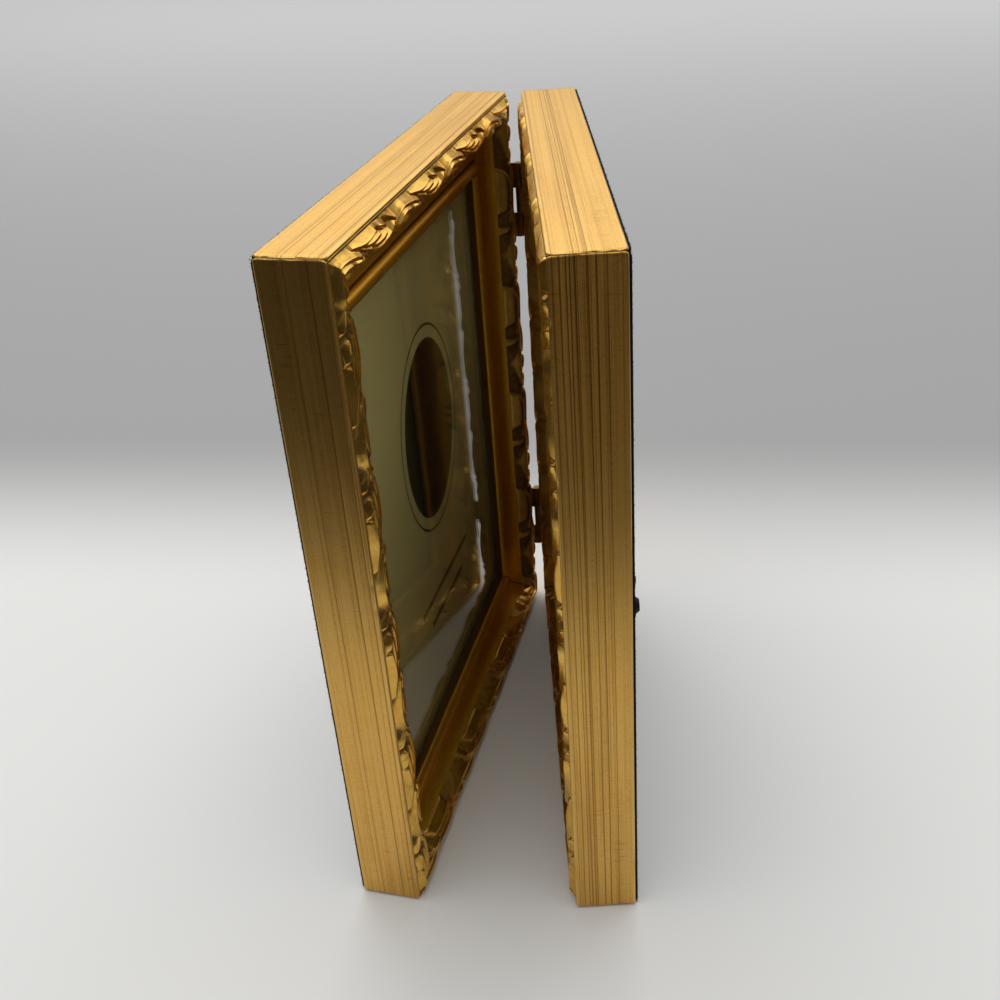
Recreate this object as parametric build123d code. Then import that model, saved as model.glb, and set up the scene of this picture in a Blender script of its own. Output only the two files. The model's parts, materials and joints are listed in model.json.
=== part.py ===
from build123d import *
import os
from functools import cache
from math import atan2, cos, degrees, hypot, radians, sin

# Hinged double photo frame: two gilt wooden frames that open like a book.
# Millimetres, +Z up. The hinge pins stand upright at the far side (+Y), the free edges point to -Y,
# and the pictures face each other across the gap. The origin is the middle of the footprint, on the table.
#
# Each frame is first laid flat on its back: X to the right, Y up the picture, Z towards the viewer,
# with Z = 0 on the back of the wood. It is stood up and swung to its angle at the end.

# Picture
CARD_WIDTH = 130.0
CARD_HEIGHT = 180.0
CARD_OVERLAP = 5.0
CARD_PLAY = 1.0

# Stack behind the sight edge, front to back
GLASS_THICKNESS = 2.0
CARD_THICKNESS = 0.6
PACKING_THICKNESS = 2.2
PANEL_THICKNESS = 4.0
STACK_GAP = 0.1
VELVET_THICKNESS = 0.7

# Moulding section: widths run in from the outer edge, heights stand on the back of the wood
EDGE_HEIGHT = 19.0
EDGE_RADIUS = 0.5
EDGE_FLAT = 0.1
BACK_CHAMFER = 0.5
QUIRK_WIDTH = 0.4
QUIRK_DEPTH = 0.5
QUIRK_FILLET = 0.4
SHOULDER_WIDTH = 1.7
SHOULDER_RISE = 1.0
SHOULDER_SWELL = 0.15
SEAT_WIDTH = 7.5
SEAT_DROP = 2.8
FLANK_WIDTH = 0.6
FLANK_DROP = 1.2
COVE_WIDTH = 7.4
COVE_HOLLOW = 1.6
LIP_THICKNESS = 1.6
GROOVE_WIDTH = 0.8
GROOVE_DEPTH = 0.4
BEAD_WIDTH = 4.6
BEAD_RISE = 1.8
BEAD_FOOT = 0.4
SIGHT_FLAT = 0.6

# Leaf-scroll ornament, pressed as a strip and glued to the sloping seat
RIBBON_THICKNESS = 0.4
RIBBON_MARGIN = 0.2
SCROLL_PITCH = 45.0
LEAF_HEIGHT = 1.3

# Sheet-steel wedges driven across the mitres from the back
WEDGE_INSET = 9.5
WEDGE_LEG = 6.0
WEDGE_THICKNESS = 0.6
WEDGE_DEPTH = 7.0

# Velvet strips on the back of the wood
BORDER_MARGIN = 0.4

# Turn buttons and their round-head screws
BUTTON_INSET = 12.5
BUTTON_ROOT_RADIUS = 3.6
BUTTON_TIP_RADIUS = 2.4
BUTTON_REACH = 9.8
BUTTON_THICKNESS = 0.9
BUTTON_BEND_AT = 7.0
BUTTON_BEND_ANGLE = 20.0
BUTTON_LIFT = 0.2
BUTTON_PLAY = 0.06
BUTTON_SCREW_RADIUS = 1.25
BUTTON_SCREW_DEPTH = 8.0
BUTTON_HEAD_RADIUS = 2.6
BUTTON_HEAD_HEIGHT = 1.2
BUTTON_HEAD_TAPER = 0.8
HEAD_PLAY = 0.1

# Butt hinges on the side faces, with the barrel between the two fronts
OPENING_ANGLE = 15.5
FRONT_GAP = 5.0
HINGE_INSET = 40.0
HINGE_LENGTH = 28.0
LEAF_FLANGE = 9.0
LEAF_THICKNESS = 0.8
BARREL_RADIUS = 1.5
KNUCKLE_COUNT = 3
KNUCKLE_GAP = 0.2
CUTOUT_CLEARANCE = 1.2
PIN_RADIUS = 0.75
PIN_PLAY = 0.06

# Worked out from the sizes above
rabbet_width = CARD_OVERLAP + CARD_PLAY
rabbet_depth = PANEL_THICKNESS + PACKING_THICKNESS + CARD_THICKNESS + GLASS_THICKNESS + 2 * STACK_GAP
quirk_at = EDGE_RADIUS + EDGE_FLAT
second_quirk_at = quirk_at + QUIRK_WIDTH + QUIRK_FILLET
shoulder_at = second_quirk_at + QUIRK_WIDTH
seat_at = shoulder_at + SHOULDER_WIDTH
flank_at = seat_at + SEAT_WIDTH
cove_at = flank_at + FLANK_WIDTH
groove_at = cove_at + COVE_WIDTH
bead_at = groove_at + GROOVE_WIDTH
bead_end = bead_at + BEAD_WIDTH
moulding_width = bead_end + SIGHT_FLAT
seat_top = EDGE_HEIGHT + SHOULDER_RISE
seat_foot = seat_top - SEAT_DROP
cove_top = seat_foot - FLANK_DROP
groove_floor = rabbet_depth + LIP_THICKNESS
cove_foot = groove_floor + GROOVE_DEPTH
cove_drop = cove_top - cove_foot
bead_foot = cove_foot + BEAD_FOOT
seat_length = hypot(SEAT_WIDTH, SEAT_DROP)
seat_tilt = degrees(atan2(SEAT_DROP, SEAT_WIDTH))
frame_width = CARD_WIDTH - 2 * CARD_OVERLAP + 2 * moulding_width
frame_height = CARD_HEIGHT - 2 * CARD_OVERLAP + 2 * moulding_width
hinge_heights = {"lower": HINGE_INSET, "upper": frame_height - HINGE_INSET}
axis_height = EDGE_HEIGHT + FRONT_GAP / 2
button_underside = -VELVET_THICKNESS - BUTTON_LIFT
button_outside = button_underside - BUTTON_THICKNESS
knuckle_pitch = HINGE_LENGTH / KNUCKLE_COUNT

# The four rails of a flat frame: length, and the placement of a rail that runs along +X with its outer edge at Y = 0
RAIL_PLACES = {
    "bottom": (frame_width, Pos(0, 0, 0)),
    "right": (frame_height, Pos(frame_width, 0, 0) * Rot(0, 0, 90)),
    "top": (frame_width, Pos(frame_width, frame_height, 0) * Rot(0, 0, 180)),
    "left": (frame_height, Pos(0, frame_height, 0) * Rot(0, 0, 270)),
}


def box_between(low, high):
    """A box from its lowest to its highest corner, in any order."""
    size = [abs(b - a) for a, b in zip(low, high)]
    centre = [(a + b) / 2 for a, b in zip(low, high)]
    return Pos(*centre) * Box(*size)


def moulding_face():
    """The moulding's section, with X across from the outer edge and Y up from the back of the wood."""
    quirk_floor = EDGE_HEIGHT - QUIRK_DEPTH
    shoulder_mid = (
        (shoulder_at + seat_at) / 2,
        (EDGE_HEIGHT + seat_top) / 2 + SHOULDER_SWELL,
    )
    chord = hypot(COVE_WIDTH, cove_drop)
    cove_mid = (
        (cove_at + groove_at) / 2 - COVE_HOLLOW * cove_drop / chord,
        (cove_top + cove_foot) / 2 - COVE_HOLLOW * COVE_WIDTH / chord,
    )
    outline = [
        Polyline(
            (moulding_width - rabbet_width, rabbet_depth),
            (moulding_width - rabbet_width, 0),
            (BACK_CHAMFER, 0),
            (0, BACK_CHAMFER),
            (0, EDGE_HEIGHT - EDGE_RADIUS),
        ),
        RadiusArc((0, EDGE_HEIGHT - EDGE_RADIUS), (EDGE_RADIUS, EDGE_HEIGHT), EDGE_RADIUS),
        Polyline(
            (EDGE_RADIUS, EDGE_HEIGHT),
            (quirk_at, EDGE_HEIGHT),
            (quirk_at, quirk_floor),
            (quirk_at + QUIRK_WIDTH, quirk_floor),
            (quirk_at + QUIRK_WIDTH, EDGE_HEIGHT),
            (second_quirk_at, EDGE_HEIGHT),
            (second_quirk_at, quirk_floor),
            (shoulder_at, quirk_floor),
            (shoulder_at, EDGE_HEIGHT),
        ),
        ThreePointArc((shoulder_at, EDGE_HEIGHT), shoulder_mid, (seat_at, seat_top)),
        Polyline((seat_at, seat_top), (flank_at, seat_foot), (cove_at, cove_top)),
        ThreePointArc((cove_at, cove_top), cove_mid, (groove_at, cove_foot)),
        Polyline(
            (groove_at, cove_foot),
            (groove_at, groove_floor),
            (bead_at, groove_floor),
            (bead_at, bead_foot),
        ),
        ThreePointArc(
            (bead_at, bead_foot),
            ((bead_at + bead_end) / 2, bead_foot + BEAD_RISE),
            (bead_end, bead_foot),
        ),
        Polyline(
            (bead_end, bead_foot),
            (moulding_width, bead_foot),
            (moulding_width, rabbet_depth),
            (moulding_width - rabbet_width, rabbet_depth),
        ),
    ]
    return make_face(outline)


def mitre_prism(length, width):
    """The room of one mitred length, with both ends at 45 degrees, from far below the back to far above the front."""
    outline = Polyline((0, 0), (length, 0), (length - width, width), (width, width), close=True)
    reach = EDGE_HEIGHT + VELVET_THICKNESS
    return Pos(0, 0, -reach) * extrude(make_face(outline), amount=3 * reach)


@cache
def rail(length):
    """One mitred length of moulding along +X, outer edge at Y = 0, back at Z = 0."""
    bar = extrude(Plane.YZ * moulding_face(), amount=length)
    return bar & mitre_prism(length, moulding_width)


def leaf(stations):
    """A pointed leaf with a sharp crest, standing on Z = 0.

    The first and last stations are its points, (along, across). Each one between is
    (along, across, half width, share of the leaf height), and its section is a triangle square to the leaf's run.
    """
    sections = [Vertex(*stations[0], 0)]
    for before, here, after in zip(stations, stations[1:], stations[2:]):
        along, across, half_width, share = here
        run = Vector(after[0] - before[0], after[1] - before[1]).normalized()
        side = Vector(-run.Y, run.X) * half_width
        foot = Vector(along, across)
        crest = foot + Vector(0, 0, share * LEAF_HEIGHT)
        sections.append(Wire.make_polygon([foot + side, foot - side, crest]))
    sections.append(Vertex(*stations[-1], 0))
    return Solid.make_loft(sections, ruled=True)


def scroll_motif():
    """One repeat of the running leaf scroll: X along the strip, Y in from its outer edge, Z out of it."""
    arched_leaf = leaf(
        [(1.0, 7.0), (1.4, 4.4, 0.9, 0.8), (6.0, 2.4, 1.4, 1.0), (11.5, 2.3, 1.5, 1.0), (16.0, 4.0, 1.2, 0.8), (20.0, 6.6)]
    )
    seed = leaf([(19.8, 3.6), (24.6, 2.2, 1.3, 1.0), (29.4, 0.9)])
    lower_leaf = leaf(
        [(21.6, 5.2), (26.0, 6.1, 1.0, 0.8), (32.0, 6.2, 1.3, 1.0), (38.0, 4.9, 1.2, 0.9), (46.4, 1.2)]
    )
    upper_leaf = leaf([(28.4, 3.9), (32.5, 2.5, 1.0, 0.9), (37.0, 1.9, 0.9, 0.8), (42.6, 1.0)])
    curl = leaf([(6.6, 4.2), (3.4, 5.2, 0.9, 0.8), (0.6, 6.8)])
    vein = leaf([(8.6, 4.6), (14.5, 5.0, 0.7, 0.6), (20.6, 6.9)])
    return [arched_leaf, seed, lower_leaf, upper_leaf, curl, vein]


@cache
def ornament_strip(length):
    """The leaf-scroll strip of one rail: repeats centred on the rail, mitred with it, lying on the sloping seat."""
    ribbon = box_between((0, RIBBON_MARGIN, 0), (length, seat_length - RIBBON_MARGIN, RIBBON_THICKNESS))
    first = (length - SCROLL_PITCH) / 2
    before = int(first // SCROLL_PITCH) + 2
    starts = [first + step * SCROLL_PITCH for step in range(-before, before + 1)]
    motif = scroll_motif()
    leaves = [Pos(start, 0, RIBBON_THICKNESS) * piece for start in starts for piece in motif]
    strip = ribbon.fuse(*[piece for piece in leaves if 0 < piece.bounding_box().max.X and piece.bounding_box().min.X < length])
    seated = Pos(0, seat_at, seat_top) * Rot(-seat_tilt, 0, 0) * strip
    return seated & mitre_prism(length, moulding_width)


def corner_wedges():
    """Four angle wedges, one across each mitre, driven into the back of the wood."""
    low = WEDGE_INSET - WEDGE_THICKNESS / 2
    high = WEDGE_INSET + WEDGE_THICKNESS / 2
    end = WEDGE_INSET + WEDGE_LEG
    wedge = box_between((low, low, 0), (end, high, WEDGE_DEPTH)) + box_between((low, low, 0), (high, end, WEDGE_DEPTH))
    return [place * wedge for _, place in RAIL_PLACES.values()]


def filling(thickness, front):
    """A flat sheet in the rabbet, centred in the frame, with its front face at a height above the wood's back."""
    return Pos(frame_width / 2, frame_height / 2, front - thickness / 2) * Box(CARD_WIDTH, CARD_HEIGHT, thickness)


def border_strip(length):
    """A mitred velvet strip that covers the back of one rail, between its outer edge and the rabbet."""
    width = moulding_width - rabbet_width
    strip = box_between((0, BORDER_MARGIN, -VELVET_THICKNESS), (length, width, 0))
    return strip & mitre_prism(length, width)


def button_pivot(length):
    """Where a rail's turn button pivots: the middle of the rail, on the back of the wood."""
    return Pos(length / 2, BUTTON_INSET, 0)


def turn_button():
    """A sheet-steel turn button that pivots about Z and points to +Y, with its finger tip bent off the back."""
    outline = make_hull(
        Circle(BUTTON_ROOT_RADIUS).edges() + (Pos(0, BUTTON_REACH) * Circle(BUTTON_TIP_RADIUS)).edges()
    )
    end = BUTTON_REACH + BUTTON_TIP_RADIUS
    bend = radians(BUTTON_BEND_ANGLE)
    rise = (end - BUTTON_BEND_AT) * sin(bend) / cos(bend)
    skew = BUTTON_THICKNESS / cos(bend)
    side_view = Polyline(
        (-BUTTON_ROOT_RADIUS, 0),
        (BUTTON_BEND_AT, 0),
        (end, -rise),
        (end, -rise - skew),
        (BUTTON_BEND_AT, -BUTTON_THICKNESS),
        (-BUTTON_ROOT_RADIUS, -BUTTON_THICKNESS),
        close=True,
    )
    plate = extrude(Plane.YZ * make_face(side_view), amount=BUTTON_ROOT_RADIUS, both=True)
    room = Pos(0, 0, -rise - skew) * extrude(outline, amount=rise + skew)
    hole = Cylinder(BUTTON_SCREW_RADIUS + BUTTON_PLAY, 4 * BUTTON_THICKNESS)
    return Pos(0, 0, button_underside) * ((plate & room) - hole)


def button_screw():
    """A cheese-head screw that holds a turn button: its head hangs below the button, its shank goes up into the wood."""
    head_base = button_outside - HEAD_PLAY
    face_radius = BUTTON_HEAD_RADIUS - BUTTON_HEAD_TAPER
    head = Pos(0, 0, head_base - BUTTON_HEAD_HEIGHT / 2) * Cone(face_radius, BUTTON_HEAD_RADIUS, BUTTON_HEAD_HEIGHT)
    length = BUTTON_SCREW_DEPTH - head_base
    return head + Pos(0, 0, head_base + length / 2) * Cylinder(BUTTON_SCREW_RADIUS, length)


def along_y(radius, start, end, x, z):
    """A round bar of that radius along Y."""
    return Pos(x, (start + end) / 2, z) * Rot(90, 0, 0) * Cylinder(radius, end - start)


def knuckle_spans(height, keep):
    """The stretches along Y of the knuckles whose turn it is: keep 0 for the outer ones, 1 for those between."""
    start = height - HINGE_LENGTH / 2
    numbers = [n for n in range(KNUCKLE_COUNT) if n % 2 == keep]
    spans = [(start + n * knuckle_pitch, start + (n + 1) * knuckle_pitch) for n in numbers]
    return [(max(low + KNUCKLE_GAP / 2, start), min(high - KNUCKLE_GAP / 2, start + HINGE_LENGTH)) for low, high in spans]


def hinge_leaf(height, edge, outward, keep):
    """One leaf of a butt hinge, lying on the side face at X = edge, with the knuckles whose turn it is."""
    axis_x = edge + outward * BARREL_RADIUS
    low_end = height - HINGE_LENGTH / 2
    high_end = height + HINGE_LENGTH / 2
    plate = box_between(
        (edge, low_end, EDGE_HEIGHT - LEAF_FLANGE), (edge + outward * LEAF_THICKNESS, high_end, axis_height)
    )
    bore = PIN_RADIUS if keep == 0 else PIN_RADIUS + PIN_PLAY
    for start, end in knuckle_spans(height, 1 - keep):
        plate -= along_y(BARREL_RADIUS + CUTOUT_CLEARANCE, start - KNUCKLE_GAP, end + KNUCKLE_GAP, axis_x, axis_height)
    for start, end in knuckle_spans(height, keep):
        plate += along_y(BARREL_RADIUS, start, end, axis_x, axis_height)
    plate -= along_y(bore, low_end, high_end, axis_x, axis_height)
    return plate


def hinge_pin(height, edge, outward):
    """A hinge pin, flush with both ends of the barrel."""
    low = height - HINGE_LENGTH / 2
    return along_y(PIN_RADIUS, low, low + HINGE_LENGTH, edge + outward * BARREL_RADIUS, axis_height)


def frame_nodes(side):
    """All the pieces of the left or right frame, flat on its back, with the hinge side at the right or the left."""
    hinge_rail, free_rail = ("right", "left") if side == "left" else ("left", "right")
    words = {"bottom": "bottom_rail", "top": "top_rail", hinge_rail: "hinge_stile", free_rail: "free_stile"}
    edge, outward = (frame_width, 1) if side == "left" else (0.0, -1)
    keep = 0 if side == "left" else 1
    nodes = {}

    wedges = corner_wedges()
    wedge_room = Part() + wedges
    screws = []
    border = []
    for place_name, (length, place) in RAIL_PLACES.items():
        word = words[place_name]
        bar = place * rail(length) - wedge_room
        velvet = place * border_strip(length)
        if word.endswith("stile"):
            pivot = place * button_pivot(length)
            screws.append(pivot * button_screw())
            nodes[f"{side}_{word}_button"] = pivot * turn_button()
            bar -= screws[-1]
            velvet -= screws[-1]
        nodes[f"{side}_{word}"] = bar
        nodes[f"{side}_{word}_ornament"] = place * ornament_strip(length)
        border.append(velvet)

    glass_front = rabbet_depth
    card_front = glass_front - GLASS_THICKNESS - STACK_GAP
    packing_front = card_front - CARD_THICKNESS - STACK_GAP
    nodes[f"{side}_glass"] = filling(GLASS_THICKNESS, glass_front)
    nodes[f"{side}_photo_card"] = filling(CARD_THICKNESS, card_front)
    nodes[f"{side}_packing_board"] = filling(PACKING_THICKNESS, packing_front)
    nodes[f"{side}_back_panel"] = filling(PANEL_THICKNESS, PANEL_THICKNESS)
    nodes[f"{side}_panel_velvet"] = filling(VELVET_THICKNESS, 0)
    nodes[f"{side}_back_border"] = Compound(border)
    nodes[f"{side}_corner_wedges"] = Compound(wedges)
    nodes[f"{side}_button_screws"] = Compound(screws)
    for level, height in hinge_heights.items():
        nodes[f"{level}_hinge_{side}_leaf"] = hinge_leaf(height, edge, outward, keep)
        if side == "left":
            nodes[f"{level}_hinge_pin"] = hinge_pin(height, edge, outward)
    return nodes


def standing_place(side):
    """Stands a flat frame up and swings it to half the opening, with the hinge axis on the world's Z axis."""
    half = radians(OPENING_ANGLE / 2)
    if side == "left":
        across = Vector(sin(half), cos(half), 0)
        front = Vector(cos(half), -sin(half), 0)
        axis_x = frame_width + BARREL_RADIUS
    else:
        across = Vector(sin(half), -cos(half), 0)
        front = Vector(-cos(half), -sin(half), 0)
        axis_x = -BARREL_RADIUS
    corner = across * -axis_x + front * -axis_height
    return Plane(origin=corner, x_dir=across, z_dir=front).location


def build():
    """All the placed pieces by name, and the hinge axis's place on the table."""
    placed = {}
    for side in ("left", "right"):
        place = standing_place(side)
        for name, piece in frame_nodes(side).items():
            placed[name] = place * piece
    room = Compound(list(placed.values())).bounding_box()
    shift = Pos(-room.center().X, -room.center().Y, -room.min.Z)
    return {name: shift * piece for name, piece in placed.items()}, shift.position


pieces, hinge_axis = build()
os.makedirs("parts", exist_ok=True)
for name, piece in pieces.items():
    export_step(piece, f"parts/{name}.step")
print(f"{len(pieces)} nodes, frame {frame_width:.1f} x {frame_height:.1f}, hinge axis at {hinge_axis}")
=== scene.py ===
import json
import logging
import math
from dataclasses import dataclass, field
from enum import Enum

import bpy
import numpy as np
from mathutils import Euler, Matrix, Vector


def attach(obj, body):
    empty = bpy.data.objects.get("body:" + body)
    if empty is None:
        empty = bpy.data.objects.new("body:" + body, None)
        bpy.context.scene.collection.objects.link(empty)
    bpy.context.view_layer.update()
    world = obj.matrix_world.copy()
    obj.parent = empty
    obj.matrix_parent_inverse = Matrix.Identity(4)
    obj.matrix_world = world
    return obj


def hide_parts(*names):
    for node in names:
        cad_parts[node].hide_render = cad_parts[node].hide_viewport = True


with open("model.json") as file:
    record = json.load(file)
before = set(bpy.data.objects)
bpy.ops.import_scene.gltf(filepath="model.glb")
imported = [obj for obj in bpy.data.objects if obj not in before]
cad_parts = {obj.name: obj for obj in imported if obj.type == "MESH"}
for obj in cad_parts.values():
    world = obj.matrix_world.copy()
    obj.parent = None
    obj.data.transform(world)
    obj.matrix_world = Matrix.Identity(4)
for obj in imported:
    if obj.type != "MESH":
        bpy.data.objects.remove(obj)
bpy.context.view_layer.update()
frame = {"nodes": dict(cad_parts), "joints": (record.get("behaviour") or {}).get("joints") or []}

# Looks of a hinged double photo frame. Sizes are millimetres in the flat frame of one leaf:
# X across the picture, Y up it, Z towards the viewer, Z = 0 on the back of the wood.
MM = 0.001
UV_NAME = "along_across"
log = logging.getLogger("photo_frame")

Array = np.ndarray
Colour = tuple[float, float, float, float]


class Side(Enum):
    """Which of the two frames."""

    LEFT = "left"
    RIGHT = "right"


class Rail(Enum):
    """The four lengths of a flat frame, by where they lie in it."""

    BOTTOM = "bottom"
    RIGHT = "right"
    TOP = "top"
    LEFT = "left"


# ---------------------------------------------------------------- helpers


def hex_colour(code: str) -> Colour:
    """Turns an sRGB hex colour into linear RGBA.

    Args:
        code: Six hex digits after a hash.

    Returns:
        Linear red, green, blue and an alpha of 1.
    """
    channels = np.array([int(code[at:at + 2], 16) / 255 for at in (1, 3, 5)])
    linear = np.where(channels <= 0.04045, channels / 12.92, ((channels + 0.055) / 1.055) ** 2.4)
    return (*linear.tolist(), 1.0)


def add_node(tree: bpy.types.NodeTree, kind: str, inputs: dict | None = None, **settings: object) -> bpy.types.Node:
    """Adds one shader node with its settings and links.

    Args:
        tree: The node tree that gets the node.
        kind: The node's type, without the ShaderNode in front.
        inputs: Socket name or number to a socket to link from, or a value to set.
        **settings: The node's own properties.

    Returns:
        The new node.
    """
    made = tree.nodes.new("ShaderNode" + kind)
    for name, value in settings.items():
        setattr(made, name, value)
    for key, value in (inputs or {}).items():
        if isinstance(value, bpy.types.NodeSocket):
            tree.links.new(value, made.inputs[key])
        else:
            made.inputs[key].default_value = value
    return made


def smooth_noise(at: Array, spacing: float, rng: np.random.Generator) -> Array:
    """Random values on a line, eased between knots by the smoothstep curve.

    Args:
        at: Places along the line, from 0 up.
        spacing: Distance between knots.
        rng: The source of the knots.

    Returns:
        Values from 0 to 1, shaped as the places.
    """
    knots = rng.random(int(at.max() / spacing) + 3)
    cell = np.floor(at / spacing).astype(int)
    part = at / spacing - cell
    part = part * part * (3 - 2 * part)
    return knots[cell] * (1 - part) + knots[cell + 1] * part


def blurred(grid: Array, steps: int) -> Array:
    """Softens a height grid by repeated averaging with its four neighbours.

    Args:
        grid: The heights, repeating along the first axis.
        steps: How many times to average.

    Returns:
        The softened heights.
    """
    for _ in range(steps):
        padded = np.pad(grid, ((0, 0), (1, 1)), mode="edge")
        around = np.roll(grid, 1, 0) + np.roll(grid, -1, 0) + padded[:, :-2] + padded[:, 2:]
        grid = 0.5 * grid + 0.125 * around
    return grid


def arc_through(start: tuple, middle: tuple, end: tuple, count: int) -> Array:
    """Points on the circle through three points, from the first up to but without the last.

    Args:
        start: First point.
        middle: A point between.
        end: Last point.
        count: How many points.

    Returns:
        The points, one per row.
    """
    a, b, c = (complex(*point) for point in (start, middle, end))
    ratio = (c - a) / (b - a)
    centre = (a - b) * (ratio - abs(ratio) ** 2) / (2j * ratio.imag) * -1 + a
    turn = np.angle((c - centre) / (a - centre))
    if (np.angle((b - centre) / (a - centre)) > 0) != (turn > 0):
        turn -= math.copysign(2 * math.pi, turn)
    swung = centre + (a - centre) * np.exp(1j * turn * np.arange(count) / count)
    return np.stack([swung.real, swung.imag], 1)


def straight(start: tuple, end: tuple, count: int) -> Array:
    """Points from one place up to but without another, evenly spaced."""
    return np.linspace(start, end, count, endpoint=False)


def hump(offset: Array, half: float) -> Array:
    """A Gaussian that is 1 at no offset and 1/e at half."""
    return np.exp(-((offset / half) ** 2))


def distance_round(points: Array) -> Array:
    """Distance along a closed loop to each of its points, and once more for the way back to the first.

    Args:
        points: The loop's points, one per row.

    Returns:
        The distances, one more than the points.
    """
    closed = np.concatenate([points, points[:1]])
    return np.concatenate([[0.0], np.cumsum(np.hypot(*np.diff(closed, axis=0).T))])


@dataclass
class Surface:
    """A mesh as whole arrays: points, faces, a UV per corner and named values per point."""

    points: Array
    quads: Array
    corner_uv: Array
    marks: dict[str, Array] = field(default_factory=dict)
    caps: list[Array] = field(default_factory=list)

    @classmethod
    def merged(cls, parts: list["Surface"]) -> "Surface":
        """Several surfaces with the same marks as one.

        Args:
            parts: The surfaces, in order.

        Returns:
            All of them as one surface.
        """
        shifts = np.cumsum([0] + [len(part.points) for part in parts[:-1]])
        return cls(
            np.concatenate([part.points for part in parts]),
            np.concatenate([part.quads + shift for part, shift in zip(parts, shifts)]),
            np.concatenate([part.corner_uv for part in parts]),
            {name: np.concatenate([part.marks[name] for part in parts]) for name in parts[0].marks},
            [cap + shift for part, shift in zip(parts, shifts) for cap in part.caps],
        )

    def piece(self, name: str, material: bpy.types.Material, crease: float = 40.0) -> bpy.types.Object:
        """Puts the arrays into a mesh object at the origin.

        Args:
            name: The piece's name.
            material: Its finish.
            crease: Edges sharper than this many degrees stay sharp.

        Returns:
            The linked object.
        """
        mesh = bpy.data.meshes.new(name)
        mesh.from_pydata(self.points.tolist(), [], self.quads.tolist() + [cap.tolist() for cap in self.caps])
        layer = mesh.uv_layers.new(name=UV_NAME)
        cap_uv = [self.points[cap][:, :2] for cap in self.caps]
        corners = np.concatenate([self.corner_uv.reshape(-1, 2), *cap_uv]) if cap_uv else self.corner_uv
        layer.uv.foreach_set("vector", np.ascontiguousarray(corners, np.float32).ravel())
        for mark, values in self.marks.items():
            held = mesh.attributes.new(mark, "FLOAT", "POINT")
            held.data.foreach_set("value", np.ascontiguousarray(values, np.float32))
        mesh.polygons.foreach_set("use_smooth", np.ones(len(mesh.polygons), bool))
        mesh.set_sharp_from_angle(angle=math.radians(crease))
        mesh.materials.append(material)
        mesh.validate()
        made = bpy.data.objects.new(name, mesh)
        bpy.context.scene.collection.objects.link(made)
        return made


def swept(rings: Array, along: Array, across: Array, marks: dict[str, Array]) -> Surface:
    """A closed loop carried along a path: quads between neighbouring rings, and a flat cap at each end.

    Args:
        rings: Points by ring and place in the loop, anticlockwise seen from the path's far end.
        along: U in millimetres by ring and place.
        across: V in millimetres by place, with one more for the loop's end.
        marks: Values by ring and place.

    Returns:
        The surface.
    """
    count, around = rings.shape[:2]
    ring, place = np.meshgrid(np.arange(count - 1), np.arange(around), indexing="ij")
    after = (place + 1) % around
    quads = np.stack(
        [ring * around + place, ring * around + after, (ring + 1) * around + after, (ring + 1) * around + place], -1
    )
    corner_u = np.stack([along[ring, place], along[ring, after], along[ring + 1, after], along[ring + 1, place]], -1)
    corner_v = np.stack([across[place], across[place + 1], across[place + 1], across[place]], -1)
    ends = [np.arange(around)[::-1], (count - 1) * around + np.arange(around)]
    return Surface(
        rings.reshape(-1, 3),
        quads.reshape(-1, 4),
        np.stack([corner_u, corner_v], -1).reshape(-1, 4, 2),
        {name: np.broadcast_to(values, (count, around)).reshape(-1) for name, values in marks.items()},
        ends,
    )


# ---------------------------------------------------------------- finishes


@dataclass(frozen=True)
class Finish:
    """A finish by name, as the start of a node material."""

    name: str

    def start(self) -> tuple[bpy.types.Material, bpy.types.NodeTree]:
        """A new material.

        Returns:
            The material and its empty node tree.
        """
        material = bpy.data.materials.new(self.name)
        material.use_nodes = True
        material.node_tree.nodes.clear()
        return material, material.node_tree


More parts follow.
